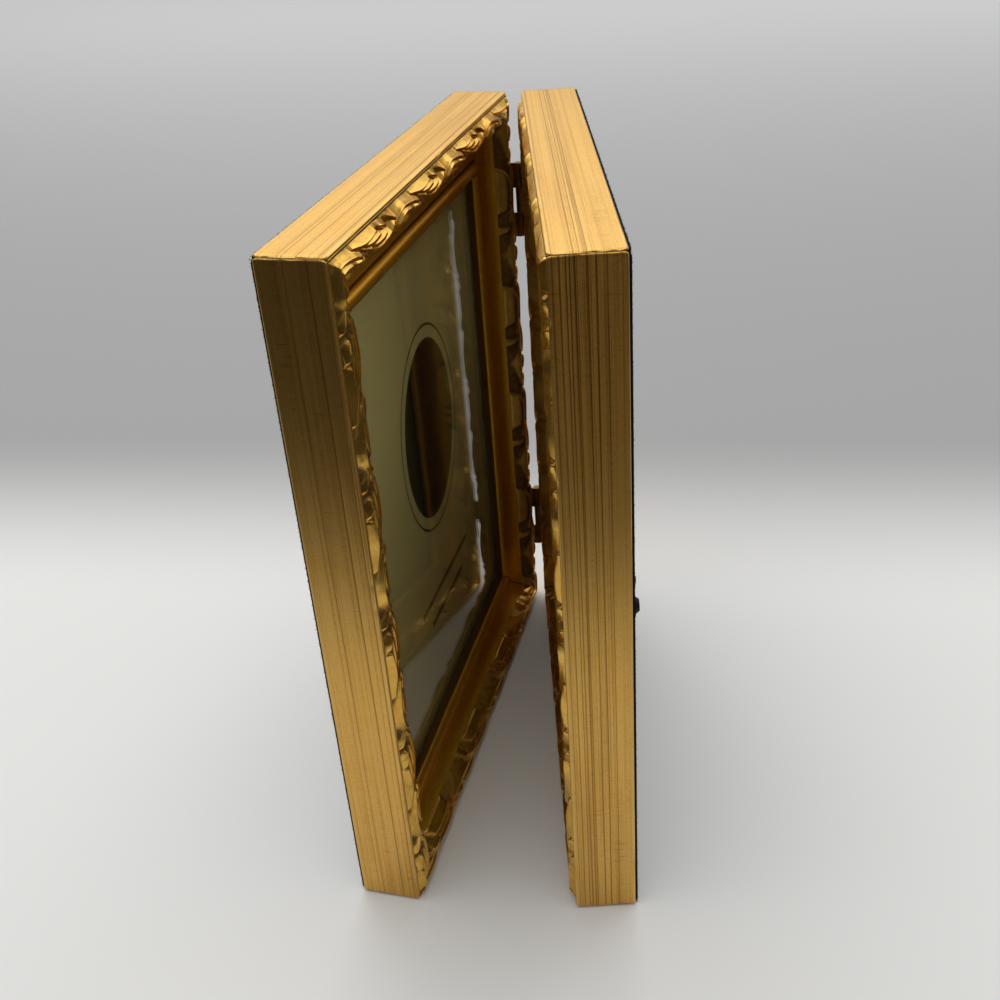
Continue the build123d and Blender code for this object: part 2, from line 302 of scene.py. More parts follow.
@dataclass(frozen=True)
class Gilding(Finish):
    """Bronze-gold leaf over brown bole on wood, combed along its length and rubbed with umber wash.

    Gives the eye: a soft metal gold that mirrors the room in blurred bands, fine brown lines where the bole
    shows through, dark umber in the hollows and painted shade on some inner faces, pale rubbed edges, and a
    duller gold round the picture under a painted amber tint that stands in for light bounced between the gilt faces.
    Sizes are those of a pattern's cells in millimetres, along and across where there are two.
    """

    gold: str = "#DFB15C"
    pale: str = "#E0B462"
    brown: str = "#BA883D"
    umber: str = "#40230A"
    groove: str = "#6A3E06"
    speck: str = "#8A5A26"
    bole: str = "#A9682C"
    rubbed: str = "#F2CF86"
    bounce_amber: str = "#E3AA2A"
    glint: str = "#FFF4DF"
    roughness: float = 0.31
    streak_size: tuple[float, float] = (220.0, 0.7)
    line_size: tuple[float, float] = (150.0, 0.16)
    patch_size: tuple[float, float] = (90.0, 5.0)
    scratch_size: tuple[float, float] = (0.3, 7.0)
    cloud_size: float = 11.0
    grit_size: float = 0.28
    pit_spacing: float = 5.0
    line_share: float = 0.42
    speckle: float = 0.42
    mottle: float = 0.45
    relief: float = 0.06

    def material(self) -> bpy.types.Material:
        """The finish as a node material that reads the piece's UV map and its marks.

        Returns:
            The material.
        """
        material, tree = self.start()
        uv = add_node(tree, "UVMap", uv_map=UV_NAME).outputs[0]
        place = add_node(tree, "TexCoord").outputs["Object"]
        marks = ("patina_and_shade", "comb", "wear", "inner")
        value = {mark: add_node(tree, "Attribute", attribute_name=mark).outputs["Fac"] for mark in marks}

        # Noises: coordinates, size of the cells on each axis, detail.
        noises = {
            "cloud": (place, (self.cloud_size * MM,) * 3, 3.0),
            "grit": (place, (self.grit_size * MM,) * 3, 2.0),
            "streak": (uv, (*self.streak_size, 1.0), 3.0),
            "line": (uv, (*self.line_size, 1.0), 2.0),
            "patch": (uv, (*self.patch_size, 1.0), 1.0),
            "scratch": (uv, (*self.scratch_size, 1.0), 2.0),
        }
        for name, (vector, size, detail) in noises.items():
            scale = tuple(1 / length for length in size)
            cells = add_node(tree, "Mapping", {"Vector": vector, "Scale": scale}).outputs[0]
            noise = add_node(tree, "TexNoise", {"Vector": cells, "Scale": 1.0, "Detail": detail})
            value[name] = noise.outputs["Fac"]
        spots = add_node(tree, "TexVoronoi", {"Vector": place, "Scale": 1 / (self.pit_spacing * MM)})
        value["pit"] = spots.outputs["Distance"]
        clouded = {0: value["cloud"], 1: self.mottle, 2: value["patina_and_shade"]}
        value["stain"] = add_node(tree, "Math", clouded, operation="MULTIPLY_ADD").outputs[0]

        # Eased shares: what each follows, where it starts, where it is full, and its most.
        clean = self.mottle / 2
        ramps = {
            "pale": ("cloud", 0.35, 0.65, 1.0),
            "streaks": ("streak", 0.45, 0.75, 0.6),
            "patches": ("patch", 0.52, 0.8, 0.3),
            "specks": ("grit", 0.48, 0.72, self.speckle),
            "fine_lines": ("line", 0.54, 0.64, self.line_share),
            "lined_patch": ("patch", 0.36, 0.6, 1.0),
            "cuts": ("scratch", 0.6, 0.72, self.line_share),
            "cut_patch": ("patch", 0.45, 0.6, 1.0),
            "pits": ("pit", 0.06, 0.03, self.line_share),
            "hollow": ("stain", clean + 0.08, clean + 0.85, 1.0),
            "bared": ("grit", 0.35, 0.6, 1.0),
        }
        for name, (source, low, high, most) in ramps.items():
            spread = {"Value": value[source], "From Min": low, "From Max": high, "To Max": most}
            value[name] = add_node(tree, "MapRange", spread, interpolation_type="SMOOTHSTEP").outputs[0]
        products = {
            "lines": (value["fine_lines"], value["lined_patch"]),
            "scratches": (value["cuts"], value["cut_patch"]),
            "bare": (value["wear"], value["bared"]),
            "grooves": (value["comb"], 0.9),
            "wash_and_shade": (value["hollow"], 0.92),
            "bounce_warmth": (value["inner"], 0.85),
        }
        for name, (first, second) in products.items():
            value[name] = add_node(tree, "Math", {0: first, 1: second}, operation="MULTIPLY").outputs[0]
        hurt = {0: value["scratches"], 1: value["pits"]}
        value["marks"] = add_node(tree, "Math", hurt, operation="MAXIMUM").outputs[0]

        # Colours laid over the gold in turn, each by its share.
        layers = (
            ("pale", self.pale),
            ("streaks", self.brown),
            ("patches", self.bole),
            # Painted bounce light: the amber over the inner parts stands in for the warm light bounced between the
            # gilt faces.
            ("bounce_warmth", self.bounce_amber),
            ("specks", self.speck),
            ("lines", self.groove),
            ("marks", self.umber),
            ("grooves", self.groove),
            ("wash_and_shade", self.umber),
            ("bare", self.rubbed),
        )
        colour = hex_colour(self.gold)
        for share, over in layers:
            laid = {0: value[share], 6: colour, 7: hex_colour(over)}
            colour = add_node(tree, "Mix", laid, data_type="RGBA").outputs[2]
        # Weighted sums: where each starts, and how much of each value it takes.
        sums = {
            "rough": (self.roughness - 0.06, {"hollow": 0.3, "grit": 0.38 * self.speckle, "inner": 0.14}),
            "metal": (0.97, {"hollow": -0.45}),
            "tooth": (0.0, {"line": 0.9, "grit": 0.4}),
        }
        for name, (total, weights) in sums.items():
            for source, weight in weights.items():
                more = {0: value[source], 1: weight, 2: total}
                total = add_node(tree, "Math", more, operation="MULTIPLY_ADD").outputs[0]
            value[name] = total
        raised = {"Height": value["tooth"], "Strength": 0.7, "Distance": self.relief * MM}
        looks = {
            "Base Color": colour,
            "Roughness": value["rough"],
            "Metallic": value["metal"],
            "Normal": add_node(tree, "Bump", raised).outputs[0],
            "Specular Tint": hex_colour(self.glint),
            "Coat Weight": 0.03,
            "Coat Roughness": 0.3,
        }
        shader = add_node(tree, "BsdfPrincipled", looks)
        add_node(tree, "OutputMaterial", {"Surface": shader.outputs[0]})
        return material


@dataclass(frozen=True)
class Velvet(Finish):
    """Black cotton velvet, a short upright pile woven on a backing and glued down.

    Gives the eye: near black face on, a thin grey sheen at a slant, and faint brushed patches.
    """

    face: str = "#0A0A0B"
    brushed: str = "#1A1A1C"
    sheen: str = "#9A9AA0"
    pile_size: float = 0.35
    pile_height: float = 0.2
    patch_size: float = 14.0

    def material(self) -> bpy.types.Material:
        """The finish as a node material on Object coordinates.

        Returns:
            The material.
        """
        material, tree = self.start()
        place = add_node(tree, "TexCoord").outputs["Object"]
        patch, pile = (
            add_node(tree, "TexNoise", {"Vector": place, "Scale": 1 / (size * MM), "Detail": 2.0}).outputs["Fac"]
            for size in (self.patch_size, self.pile_size)
        )
        share = add_node(tree, "Math", {0: patch, 1: pile}, operation="MULTIPLY").outputs[0]
        colours = {0: share, 6: hex_colour(self.face), 7: hex_colour(self.brushed)}
        raised = {"Height": pile, "Strength": 0.8, "Distance": self.pile_height * MM}
        looks = {
            "Base Color": add_node(tree, "Mix", colours, data_type="RGBA").outputs[2],
            "Normal": add_node(tree, "Bump", raised).outputs[0],
            "Roughness": 0.95,
            "Specular IOR Level": 0.1,
            "Sheen Weight": 0.35,
            "Sheen Roughness": 0.35,
            "Sheen Tint": hex_colour(self.sheen),
        }
        shader = add_node(tree, "BsdfPrincipled", looks)
        add_node(tree, "OutputMaterial", {"Surface": shader.outputs[0]})
        return material


@dataclass(frozen=True)
class Mottled(Finish):
    """A plain solid finish with a two-tone mottle: sheet steel, brass, lacquer, board.

    Gives the eye: small shifts of tone and gloss, so that no face reads as one flat colour.
    """

    light: str = "#808080"
    dark: str = "#404040"
    metallic: float = 0.0
    roughness: float = 0.5
    grain_size: float = 2.0
    relief: float = 0.03
    gloss: float = 0.5

    def material(self) -> bpy.types.Material:
        """The finish as a node material on Object coordinates.

        Returns:
            The material.
        """
        material, tree = self.start()
        place = add_node(tree, "TexCoord").outputs["Object"]
        cells = {"Vector": place, "Scale": 1 / (self.grain_size * MM), "Detail": 5.0}
        grain = add_node(tree, "TexNoise", cells).outputs["Fac"]
        share = add_node(tree, "MapRange", {"Value": grain, "From Min": 0.3, "From Max": 0.7}).outputs[0]
        colours = {0: share, 6: hex_colour(self.dark), 7: hex_colour(self.light)}
        spread = {"Value": grain, "To Min": self.roughness + 0.12, "To Max": self.roughness - 0.12}
        raised = {"Height": grain, "Strength": 0.6, "Distance": self.relief * MM}
        looks = {
            "Base Color": add_node(tree, "Mix", colours, data_type="RGBA").outputs[2],
            "Roughness": add_node(tree, "MapRange", spread).outputs[0],
            "Normal": add_node(tree, "Bump", raised).outputs[0],
            "Metallic": self.metallic,
            "Specular IOR Level": self.gloss,
        }
        shader = add_node(tree, "BsdfPrincipled", looks)
        add_node(tree, "OutputMaterial", {"Surface": shader.outputs[0]})
        return material


@dataclass(frozen=True)
class PictureGlass(Finish):
    """Drawn float glass, 2 mm, clear with a faint warm cast.

    Gives the eye: the card behind it, dimmed a little, under sharp reflections that grow at a slant.
    """

    cast: str = "#FAFAF4"

    def material(self) -> bpy.types.Material:
        """Clear glass for the eye, and a tinted filter for shadow and diffuse rays, so that lamps reach the card.

        Returns:
            The material.
        """
        material, tree = self.start()
        cast = hex_colour(self.cast)
        looks = {
            "Base Color": cast,
            "Roughness": 0.0,
            "IOR": 1.52,
            "Specular IOR Level": 0.3,
            "Transmission Weight": 1.0,
        }
        glass = add_node(tree, "BsdfPrincipled", looks).outputs[0]
        clear = add_node(tree, "BsdfTransparent", {"Color": cast}).outputs[0]
        rays = add_node(tree, "LightPath").outputs
        lit = {0: rays["Is Shadow Ray"], 1: rays["Is Diffuse Ray"]}
        lamps = add_node(tree, "Math", lit, operation="MAXIMUM").outputs[0]
        both = add_node(tree, "MixShader", {0: lamps, 1: glass, 2: clear}).outputs[0]
        add_node(tree, "OutputMaterial", {"Surface": both})
        return material


@dataclass(frozen=True)
class PrintedCard(Finish):
    """Smooth uncoated card in cream, offset printed with a dark oval, a thin ring round it and two bars.

    Gives the eye: a warm pale sheet with soft paper mottle and matt dark ink, and painted shade that dims it towards
    its foot.
    Places and sizes are millimetres from the card's middle.
    """

    paper: str = "#E8E0A6"
    aged: str = "#E0D29C"
    foot_shade: str = "#9C8E52"
    ink: str = "#17150F"
    oval_middle: tuple[float, float, float] = (0.0, 18.0, 0.0)
    oval_radii: tuple[float, float, float] = (30.0, 40.0, 1.0)
    mean_radius: float = 35.0
    disc_share: float = 0.8
    disc_edge: float = 0.005
    ring_radius: float = 32.0
    ring_half: float = 0.4
    bar_half: float = 1.1
    bars: tuple[tuple[float, float], ...] = ((-42.0, 26.0), (-51.0, 18.0))
    ink_edge: float = 0.06
    mottle_size: float = 9.0
    fibre_size: float = 0.5

    def material(self) -> bpy.types.Material:
        """The print as distances on the card's own UV map, in millimetres from its middle.

        The oval's distance is the length of the place, less the oval's middle, over its radii.

        Returns:
            The material.
        """
        material, tree = self.start()
        uv = add_node(tree, "UVMap", uv_map=UV_NAME).outputs[0]
        across, up, _ = add_node(tree, "SeparateXYZ", {0: uv}).outputs
        offset = add_node(tree, "VectorMath", {0: uv, 1: self.oval_middle}, operation="SUBTRACT").outputs[0]
        radial = add_node(tree, "VectorMath", {0: offset, 1: self.oval_radii}, operation="DIVIDE").outputs[0]
        oval = add_node(tree, "VectorMath", {0: radial}, operation="LENGTH").outputs["Value"]

        # Strokes: the distance each lies on, its middle, half its width and its soft edge.
        ring = (size / self.mean_radius for size in (self.ring_radius, self.ring_half, self.ink_edge))
        strokes = [(oval, 0.0, self.disc_share, self.disc_edge), (oval, *ring)]
        for middle, half in self.bars:
            strokes += [(up, middle, self.bar_half, self.ink_edge), (across, 0.0, half, self.ink_edge)]
        inked = []
        for distance, middle, half, edge in strokes:
            off = add_node(tree, "Math", {0: distance, 1: middle}, operation="SUBTRACT").outputs[0]
            off = add_node(tree, "Math", {0: off}, operation="ABSOLUTE").outputs[0]
            spread = {"Value": off, "From Min": half + edge, "From Max": half - edge}
            inked.append(add_node(tree, "MapRange", spread).outputs[0])
        disc, ring, *sides = inked
        crossed = zip(sides[::2], sides[1::2])
        bars = [add_node(tree, "Math", dict(enumerate(pair)), operation="MULTIPLY").outputs[0] for pair in crossed]
        ink = disc
        for mark in (ring, *bars):
            ink = add_node(tree, "Math", {0: ink, 1: mark}, operation="MAXIMUM").outputs[0]

        mottle, fibre = (
            add_node(tree, "TexNoise", {"Vector": uv, "Scale": 1 / size, "Detail": detail}).outputs["Fac"]
            for size, detail in ((self.mottle_size, 6.0), (self.fibre_size, 2.0))
        )
        # Painted shade: the card darkens towards its foot, where less light reaches it between the frames.
        foot = {"Value": up, "From Min": 40.0, "From Max": -60.0, "To Max": 0.75}
        dim = add_node(tree, "MapRange", foot).outputs[0]
        colour = hex_colour(self.paper)
        for share, over in ((mottle, self.aged), (dim, self.foot_shade), (ink, self.ink)):
            laid = {0: share, 6: colour, 7: hex_colour(over)}
            colour = add_node(tree, "Mix", laid, data_type="RGBA").outputs[2]
        looks = {
            "Base Color": colour,
            "Roughness": add_node(tree, "MapRange", {"Value": fibre, "To Min": 0.6, "To Max": 0.85}).outputs[0],
            "Normal": add_node(tree, "Bump", {"Height": fibre, "Strength": 0.3, "Distance": 0.02 * MM}).outputs[0],
        }
        shader = add_node(tree, "BsdfPrincipled", looks)
        add_node(tree, "OutputMaterial", {"Surface": shader.outputs[0]})
        return material


class Finishes:
    """Every finish of the object, made once."""

    def __init__(self) -> None:
        """Makes the materials."""
        self.gilt = Gilding("gilt_moulding").material()
        self.gilt_relief = Gilding(
            "gilt_pressed_relief",
            gold="#DDAC4C",
            pale="#E4B85C",
            brown="#B98A38",
            roughness=0.27,
            line_share=0.0,
            streak_size=(6.0, 2.0),
            cloud_size=2.2,
            mottle=0.4,
            speckle=0.15,
            grit_size=0.6,
            relief=0.012,
        ).material()
        self.velvet = Velvet("black_cotton_velvet").material()
        self.glass = PictureGlass("float_glass").material()
        self.card = PrintedCard("printed_cream_card").material()
        # Rolled sheet brass, browned with age: dull gold with dark tarnish clouds.
        self.brass = Mottled("aged_sheet_brass", "#86662F", "#574020", 1.0, 0.36, 5.0, relief=0.02).material()
        # Turned brass, rubbed bright by the screwdriver: paler gold than the leaf round it.
        self.screw_brass = Mottled("rubbed_turned_brass", "#C29C58", "#8E6C34", 1.0, 0.3, 1.0, relief=0.01).material()
        # Stove-enamelled steel: smooth black with a soft gloss.
        self.lacquer = Mottled(
            "black_stoved_steel", "#0E0E0F", "#060607", 0.0, 0.5, 0.8, relief=0.01, gloss=0.15
        ).material()
        # Bright zinc-plated steel: cool grey metal with a slight bloom.
        self.steel = Mottled("zinc_plated_steel", "#C4C7CA", "#8F9396", 1.0, 0.3, 1.2, relief=0.01).material()
        # Hardboard: pressed brown wood fibre with a fine fleck.
        self.fibre = Mottled("pressed_fibreboard", "#7A5636", "#553821", 0.0, 0.75, 1.5, relief=0.06).material()
        # Millboard: grey recycled pulp with darker flecks.
        self.board = Mottled("grey_pulp_board", "#9A968E", "#7C7870", 0.0, 0.9, 0.9, relief=0.04).material()


# ---------------------------------------------------------------- sizes and place


@dataclass(frozen=True)
class Moulding:
    """The moulding's section and the frame made of it.

    Widths run in from the outer edge, heights up from the back.
    """

    frame_width: float = 170.0
    frame_height: float = 220.0
    width: float = 25.0
    rabbet_width: float = 6.0
    rabbet_depth: float = 9.0
    edge_height: float = 19.0
    edge_radius: float = 0.5
    edge_flat: float = 0.1
    back_radius: float = 0.5
    quirk_width: float = 0.4
    quirk_depth: float = 0.55
    quirk_fillet: float = 0.4
    cove_at: float = 11.0
    cove_top: float = 16.2
    cove_hollow: float = 1.6
    groove_at: float = 19.0
    groove_width: float = 0.8
    groove_floor: float = 10.6
    cove_foot: float = 11.0
    bead_width: float = 4.6
    bead_foot: float = 11.4
    bead_rise: float = 1.8
    corner_radius: float = 1.5
    end_radius: float = 2.4
    velvet: float = 0.7
    card_width: float = 130.0
    card_height: float = 180.0
    glass_thickness: float = 2.0
    card_thickness: float = 0.6
    stack_gap: float = 0.1

    @property
    def shoulder_at(self) -> float:
        """Where the ornament strip starts, past the two quirks."""
        return self.edge_radius + self.edge_flat + 2 * self.quirk_width + self.quirk_fillet

    def length(self, rail: Rail) -> float:
        """A rail's outer length."""
        return self.frame_width if rail in (Rail.BOTTOM, Rail.TOP) else self.frame_height

    def flat(self, rail: Rail, along: Array, across: Array, height: Array) -> Array:
        """Turns a rail's own coordinates into the flat frame's.

        Args:
            rail: Which rail.
            along: Distance along its outer edge.
            across: Distance in from that edge.
            height: Height above the back of the wood.

        Returns:
            Points with X, Y, Z last.
        """
        wide, tall = self.frame_width, self.frame_height
        x, y = {
            Rail.BOTTOM: (along, across),
            Rail.RIGHT: (wide - across, along),
            Rail.TOP: (wide - along, tall - across),
            Rail.LEFT: (across, tall - along),
        }[rail]
        return np.stack(np.broadcast_arrays(x, y, height), -1)


@dataclass(frozen=True)
class StandingPlace:
    """Stands a flat frame up at its rest angle about the hinge axis."""

    side: Side
    moulding: Moulding
    half_opening: float = 7.75
    barrel_radius: float = 1.5
    axis_height: float = 21.5

    def world(self, points: Array) -> Array:
        """Turns flat millimetres into the object's frame in metres.

        Args:
            points: Points with X, Y, Z last.

        Returns:
            The points in metres.
        """
        joint = next(joint for joint in frame["joints"] if joint["name"] == "frame_hinge")
        axis = np.array(joint["pos_m"], float)
        turn = math.radians(self.half_opening)
        left = self.side is Side.LEFT
        across = np.array([math.sin(turn), math.cos(turn) if left else -math.cos(turn), 0.0])
        front = np.array([math.cos(turn) if left else -math.cos(turn), -math.sin(turn), 0.0])
        axis_x = self.moulding.frame_width + self.barrel_radius if left else -self.barrel_radius
        flat = points.reshape(-1, 3)
        placed = np.outer(flat[:, 0] - axis_x, across) + np.outer(flat[:, 2] - self.axis_height, front)
        placed[:, 2] += flat[:, 1]
        placed *= MM
        placed[:, :2] += axis[:2]
        return placed.reshape(points.shape)


# ---------------------------------------------------------------- ornament


@dataclass(frozen=True)
class Stroke:
    """One leaf, rib or bud of the scroll: a crest line, how steeply it falls on each side, and how round it is."""

    crest: tuple[tuple[float, float, float], ...]
    outer_fall: float
    inner_fall: float
    roundness: float

    def samples(self, spacing: float) -> Array:
        """Places along the crest, eased round its bends.

        Args:
            spacing: Distance between places.

        Returns:
            Rows of along, across and height.
        """
        crest = np.array(self.crest)
        run = np.concatenate([[0.0], np.cumsum(np.hypot(*np.diff(crest[:, :2], axis=0).T))])
        at = np.linspace(0, run[-1], max(3, int(run[-1] / spacing)))
        eased = np.stack([np.interp(at, run, column) for column in crest.T], 1)
        for _ in range(int(3 / spacing)):
            eased[1:-1] = (eased[:-2] + 2 * eased[1:-1] + eased[2:]) / 4
        return eased


@dataclass(frozen=True)
class LeafScroll:
    """The running leaf scroll pressed in the ornament strip, one repeat long.

    Crests are given as distance along the repeat, distance in from the frame's outer edge, and height.
    """

    pitch: float = 45.0
    low: float = 1.4
    high: float = 12.4
    step: float = 0.125
    sunk: float = 0.65
    strokes: tuple[Stroke, ...] = (
        # The hook: a broad leaf that flows out of the crest and rolls over, its bud, and two ribs under it.
        Stroke(
            (
                (-0.7, 6.4, 20.8), (2.8, 5.3, 20.8), (7.5, 4.5, 20.8), (11.3, 4.2, 20.9), (14.2, 4.6, 21.0),
                (16.4, 5.4, 20.9), (17.6, 6.4, 20.8), (18.4, 7.4, 20.6),
            ),
            1.15, 2.6, 0.4,
        ),
        Stroke(((-2.3, 8.0, 20.8), (0.4, 7.4, 21.0), (2.6, 7.1, 20.6)), 1.3, 2.2, 0.5),
        Stroke(
            ((4.7, 7.0, 20.2), (8.3, 6.5, 20.4), (10.8, 6.7, 20.5), (12.6, 7.6, 20.4), (14.2, 8.5, 20.1)),
            1.2, 2.2, 0.35,
        ),
        Stroke(
            ((2.4, 9.6, 19.4), (6.0, 9.3, 19.8), (9.2, 9.3, 19.8), (12.2, 9.4, 19.7), (15.5, 9.6, 19.4)),
            1.0, 2.0, 0.25,
        ),
        # Two leaflets and a seed between the hook and the long leaf.
        Stroke(((18.1, 5.0, 20.4), (21.0, 3.7, 20.5), (22.6, 2.8, 20.1)), 1.4, 2.4, 0.3),
        Stroke(((18.6, 6.0, 20.2), (20.4, 6.6, 20.8), (21.6, 7.7, 20.6)), 1.1, 2.4, 0.35),
        Stroke(((26.2, 4.4, 20.6), (28.8, 3.6, 20.9), (30.4, 3.1, 20.6)), 1.3, 2.6, 0.6),
        # The long leaf: a smooth upper blade, two ribs and a sweeping lower rim.
        Stroke(
            (
                (32.8, 3.8, 20.5), (36.0, 4.1, 20.9), (38.7, 4.2, 21.0), (41.3, 4.2, 20.9), (43.3, 4.0, 20.6),
                (45.6, 3.6, 20.2), (48.0, 3.2, 19.9),
            ),
            1.1, 2.8, 0.4,
        ),
        Stroke(
            (
                (29.2, 5.7, 20.1), (32.1, 5.8, 20.4), (34.9, 5.9, 20.5), (37.4, 5.6, 20.4), (39.9, 5.2, 20.2),
                (41.8, 4.8, 19.8),
            ),
            1.3, 2.4, 0.3,
        ),
        Stroke(
            ((25.2, 6.6, 20.3), (27.6, 7.1, 20.6), (30.5, 7.2, 20.6), (33.3, 7.0, 20.6), (36.6, 6.4, 20.4)),
            1.3, 2.2, 0.3,
        ),
        Stroke(
            (
                (21.1, 7.8, 20.4), (24.2, 8.2, 20.8), (27.0, 8.4, 20.8), (29.9, 8.6, 20.9), (32.8, 8.3, 20.8),
                (35.6, 7.7, 20.7), (38.3, 6.7, 20.5), (41.1, 5.8, 20.2), (43.9, 4.8, 19.8), (46.8, 3.8, 19.6),
            ),
            1.2, 2.6, 0.4,
        ),
        # Two fine lines that trail behind the hook.
        Stroke(((38.8, 8.3, 19.9), (42.5, 6.4, 19.9), (46.9, 4.6, 19.7)), 1.6, 2.2, 0.15),
        Stroke(((39.0, 9.3, 19.5), (42.2, 7.5, 19.8), (45.7, 5.7, 19.7)), 1.6, 2.2, 0.15),
    )

    def ground(self, across: Array) -> Array:
        """Height of the ground behind the leaves: a full round that rises from the quirk and falls to the cove.

        Args:
            across: Places in from the frame's outer edge.

        Returns:
            The heights there.
        """
        places = [1.4, 1.8, 2.5, 3.2, 4.2, 5.5, 7.0, 8.0, 9.0, 9.8, 10.4, 11.0, 12.4]
        heights = [18.2, 18.65, 19.5, 19.95, 20.3, 20.65, 20.85, 20.75, 20.1, 18.9, 17.6, 16.1, 15.5]
        return np.interp(across, places, heights)

    def tile(self) -> Array:
        """Heights over one repeat.

        Each stroke is a row of rounded cones along its crest: the crest's height, less the root of the summed
        squares of fall times distance and of the roundness, plus the roundness. The highest wins. What lies under
        the ground is drawn up towards it by a set share, and a little blur eases the creases, as gesso does.

        Returns:
            Heights by place along and across.
        """
        along = np.arange(0, self.pitch, self.step)
        across = np.arange(self.low, self.high + self.step / 2, self.step)
        ground = np.tile(self.ground(across), (len(along), 1))
        heights = ground - 3.0
        for stroke in self.strokes:
            for middle, at, top in stroke.samples(0.15):
                off_along = (along - middle + self.pitch / 2) % self.pitch - self.pitch / 2
                near = np.abs(off_along) < 3.5
                off_across = across - at
                fall = np.where(off_across < 0, stroke.outer_fall, stroke.inner_fall)
                square = (1.5 * off_along[near, None]) ** 2 + (fall * off_across) ** 2
                cone = top + stroke.roundness - np.sqrt(square + stroke.roundness ** 2)
                heights[near] = np.maximum(heights[near], cone)
        heights = np.where(heights < ground, ground + self.sunk * np.maximum(heights - ground, -2.2), heights)
        return blurred(heights, 6)

    def creases(self, tile: Array) -> Array:
        """How far each place lies under the mean round it, in millimetres: where wash stays in the hollows."""
        return blurred(np.clip(blurred(tile, 16) - tile, 0, None), 7)

    def at(self, tile: Array, along: Array, across: Array) -> Array:
        """Reads the repeating tile between its grid points.

        Args:
            tile: The values of one repeat.
            along: Places along the strip, in any repeat.
            across: Places across it.

        Returns:
            The values there.
        """
        column = (along % self.pitch) / self.step
        row = np.clip((across - self.low) / self.step, 0, tile.shape[1] - 1.001)
        c0, r0 = np.floor(column).astype(int), np.floor(row).astype(int)
        cf, rf = column - c0, row - r0
        c0 %= tile.shape[0]
        c1 = (c0 + 1) % tile.shape[0]
        near = tile[c0, r0] * (1 - rf) + tile[c0, r0 + 1] * rf
        far = tile[c1, r0] * (1 - rf) + tile[c1, r0 + 1] * rf
        return near * (1 - cf) + far * cf


# ---------------------------------------------------------------- one frame


# Heights of the boldest combed lines on the outer faces of the two free stiles.
BOLD_LINES = {
    (Side.LEFT, Rail.LEFT): (7.3, 13.9, 17.7),
    (Side.RIGHT, Rail.RIGHT): (17.7, 16.0, 14.5, 13.7, 12.5, 12.0, 9.5, 7.6, 5.1),
}


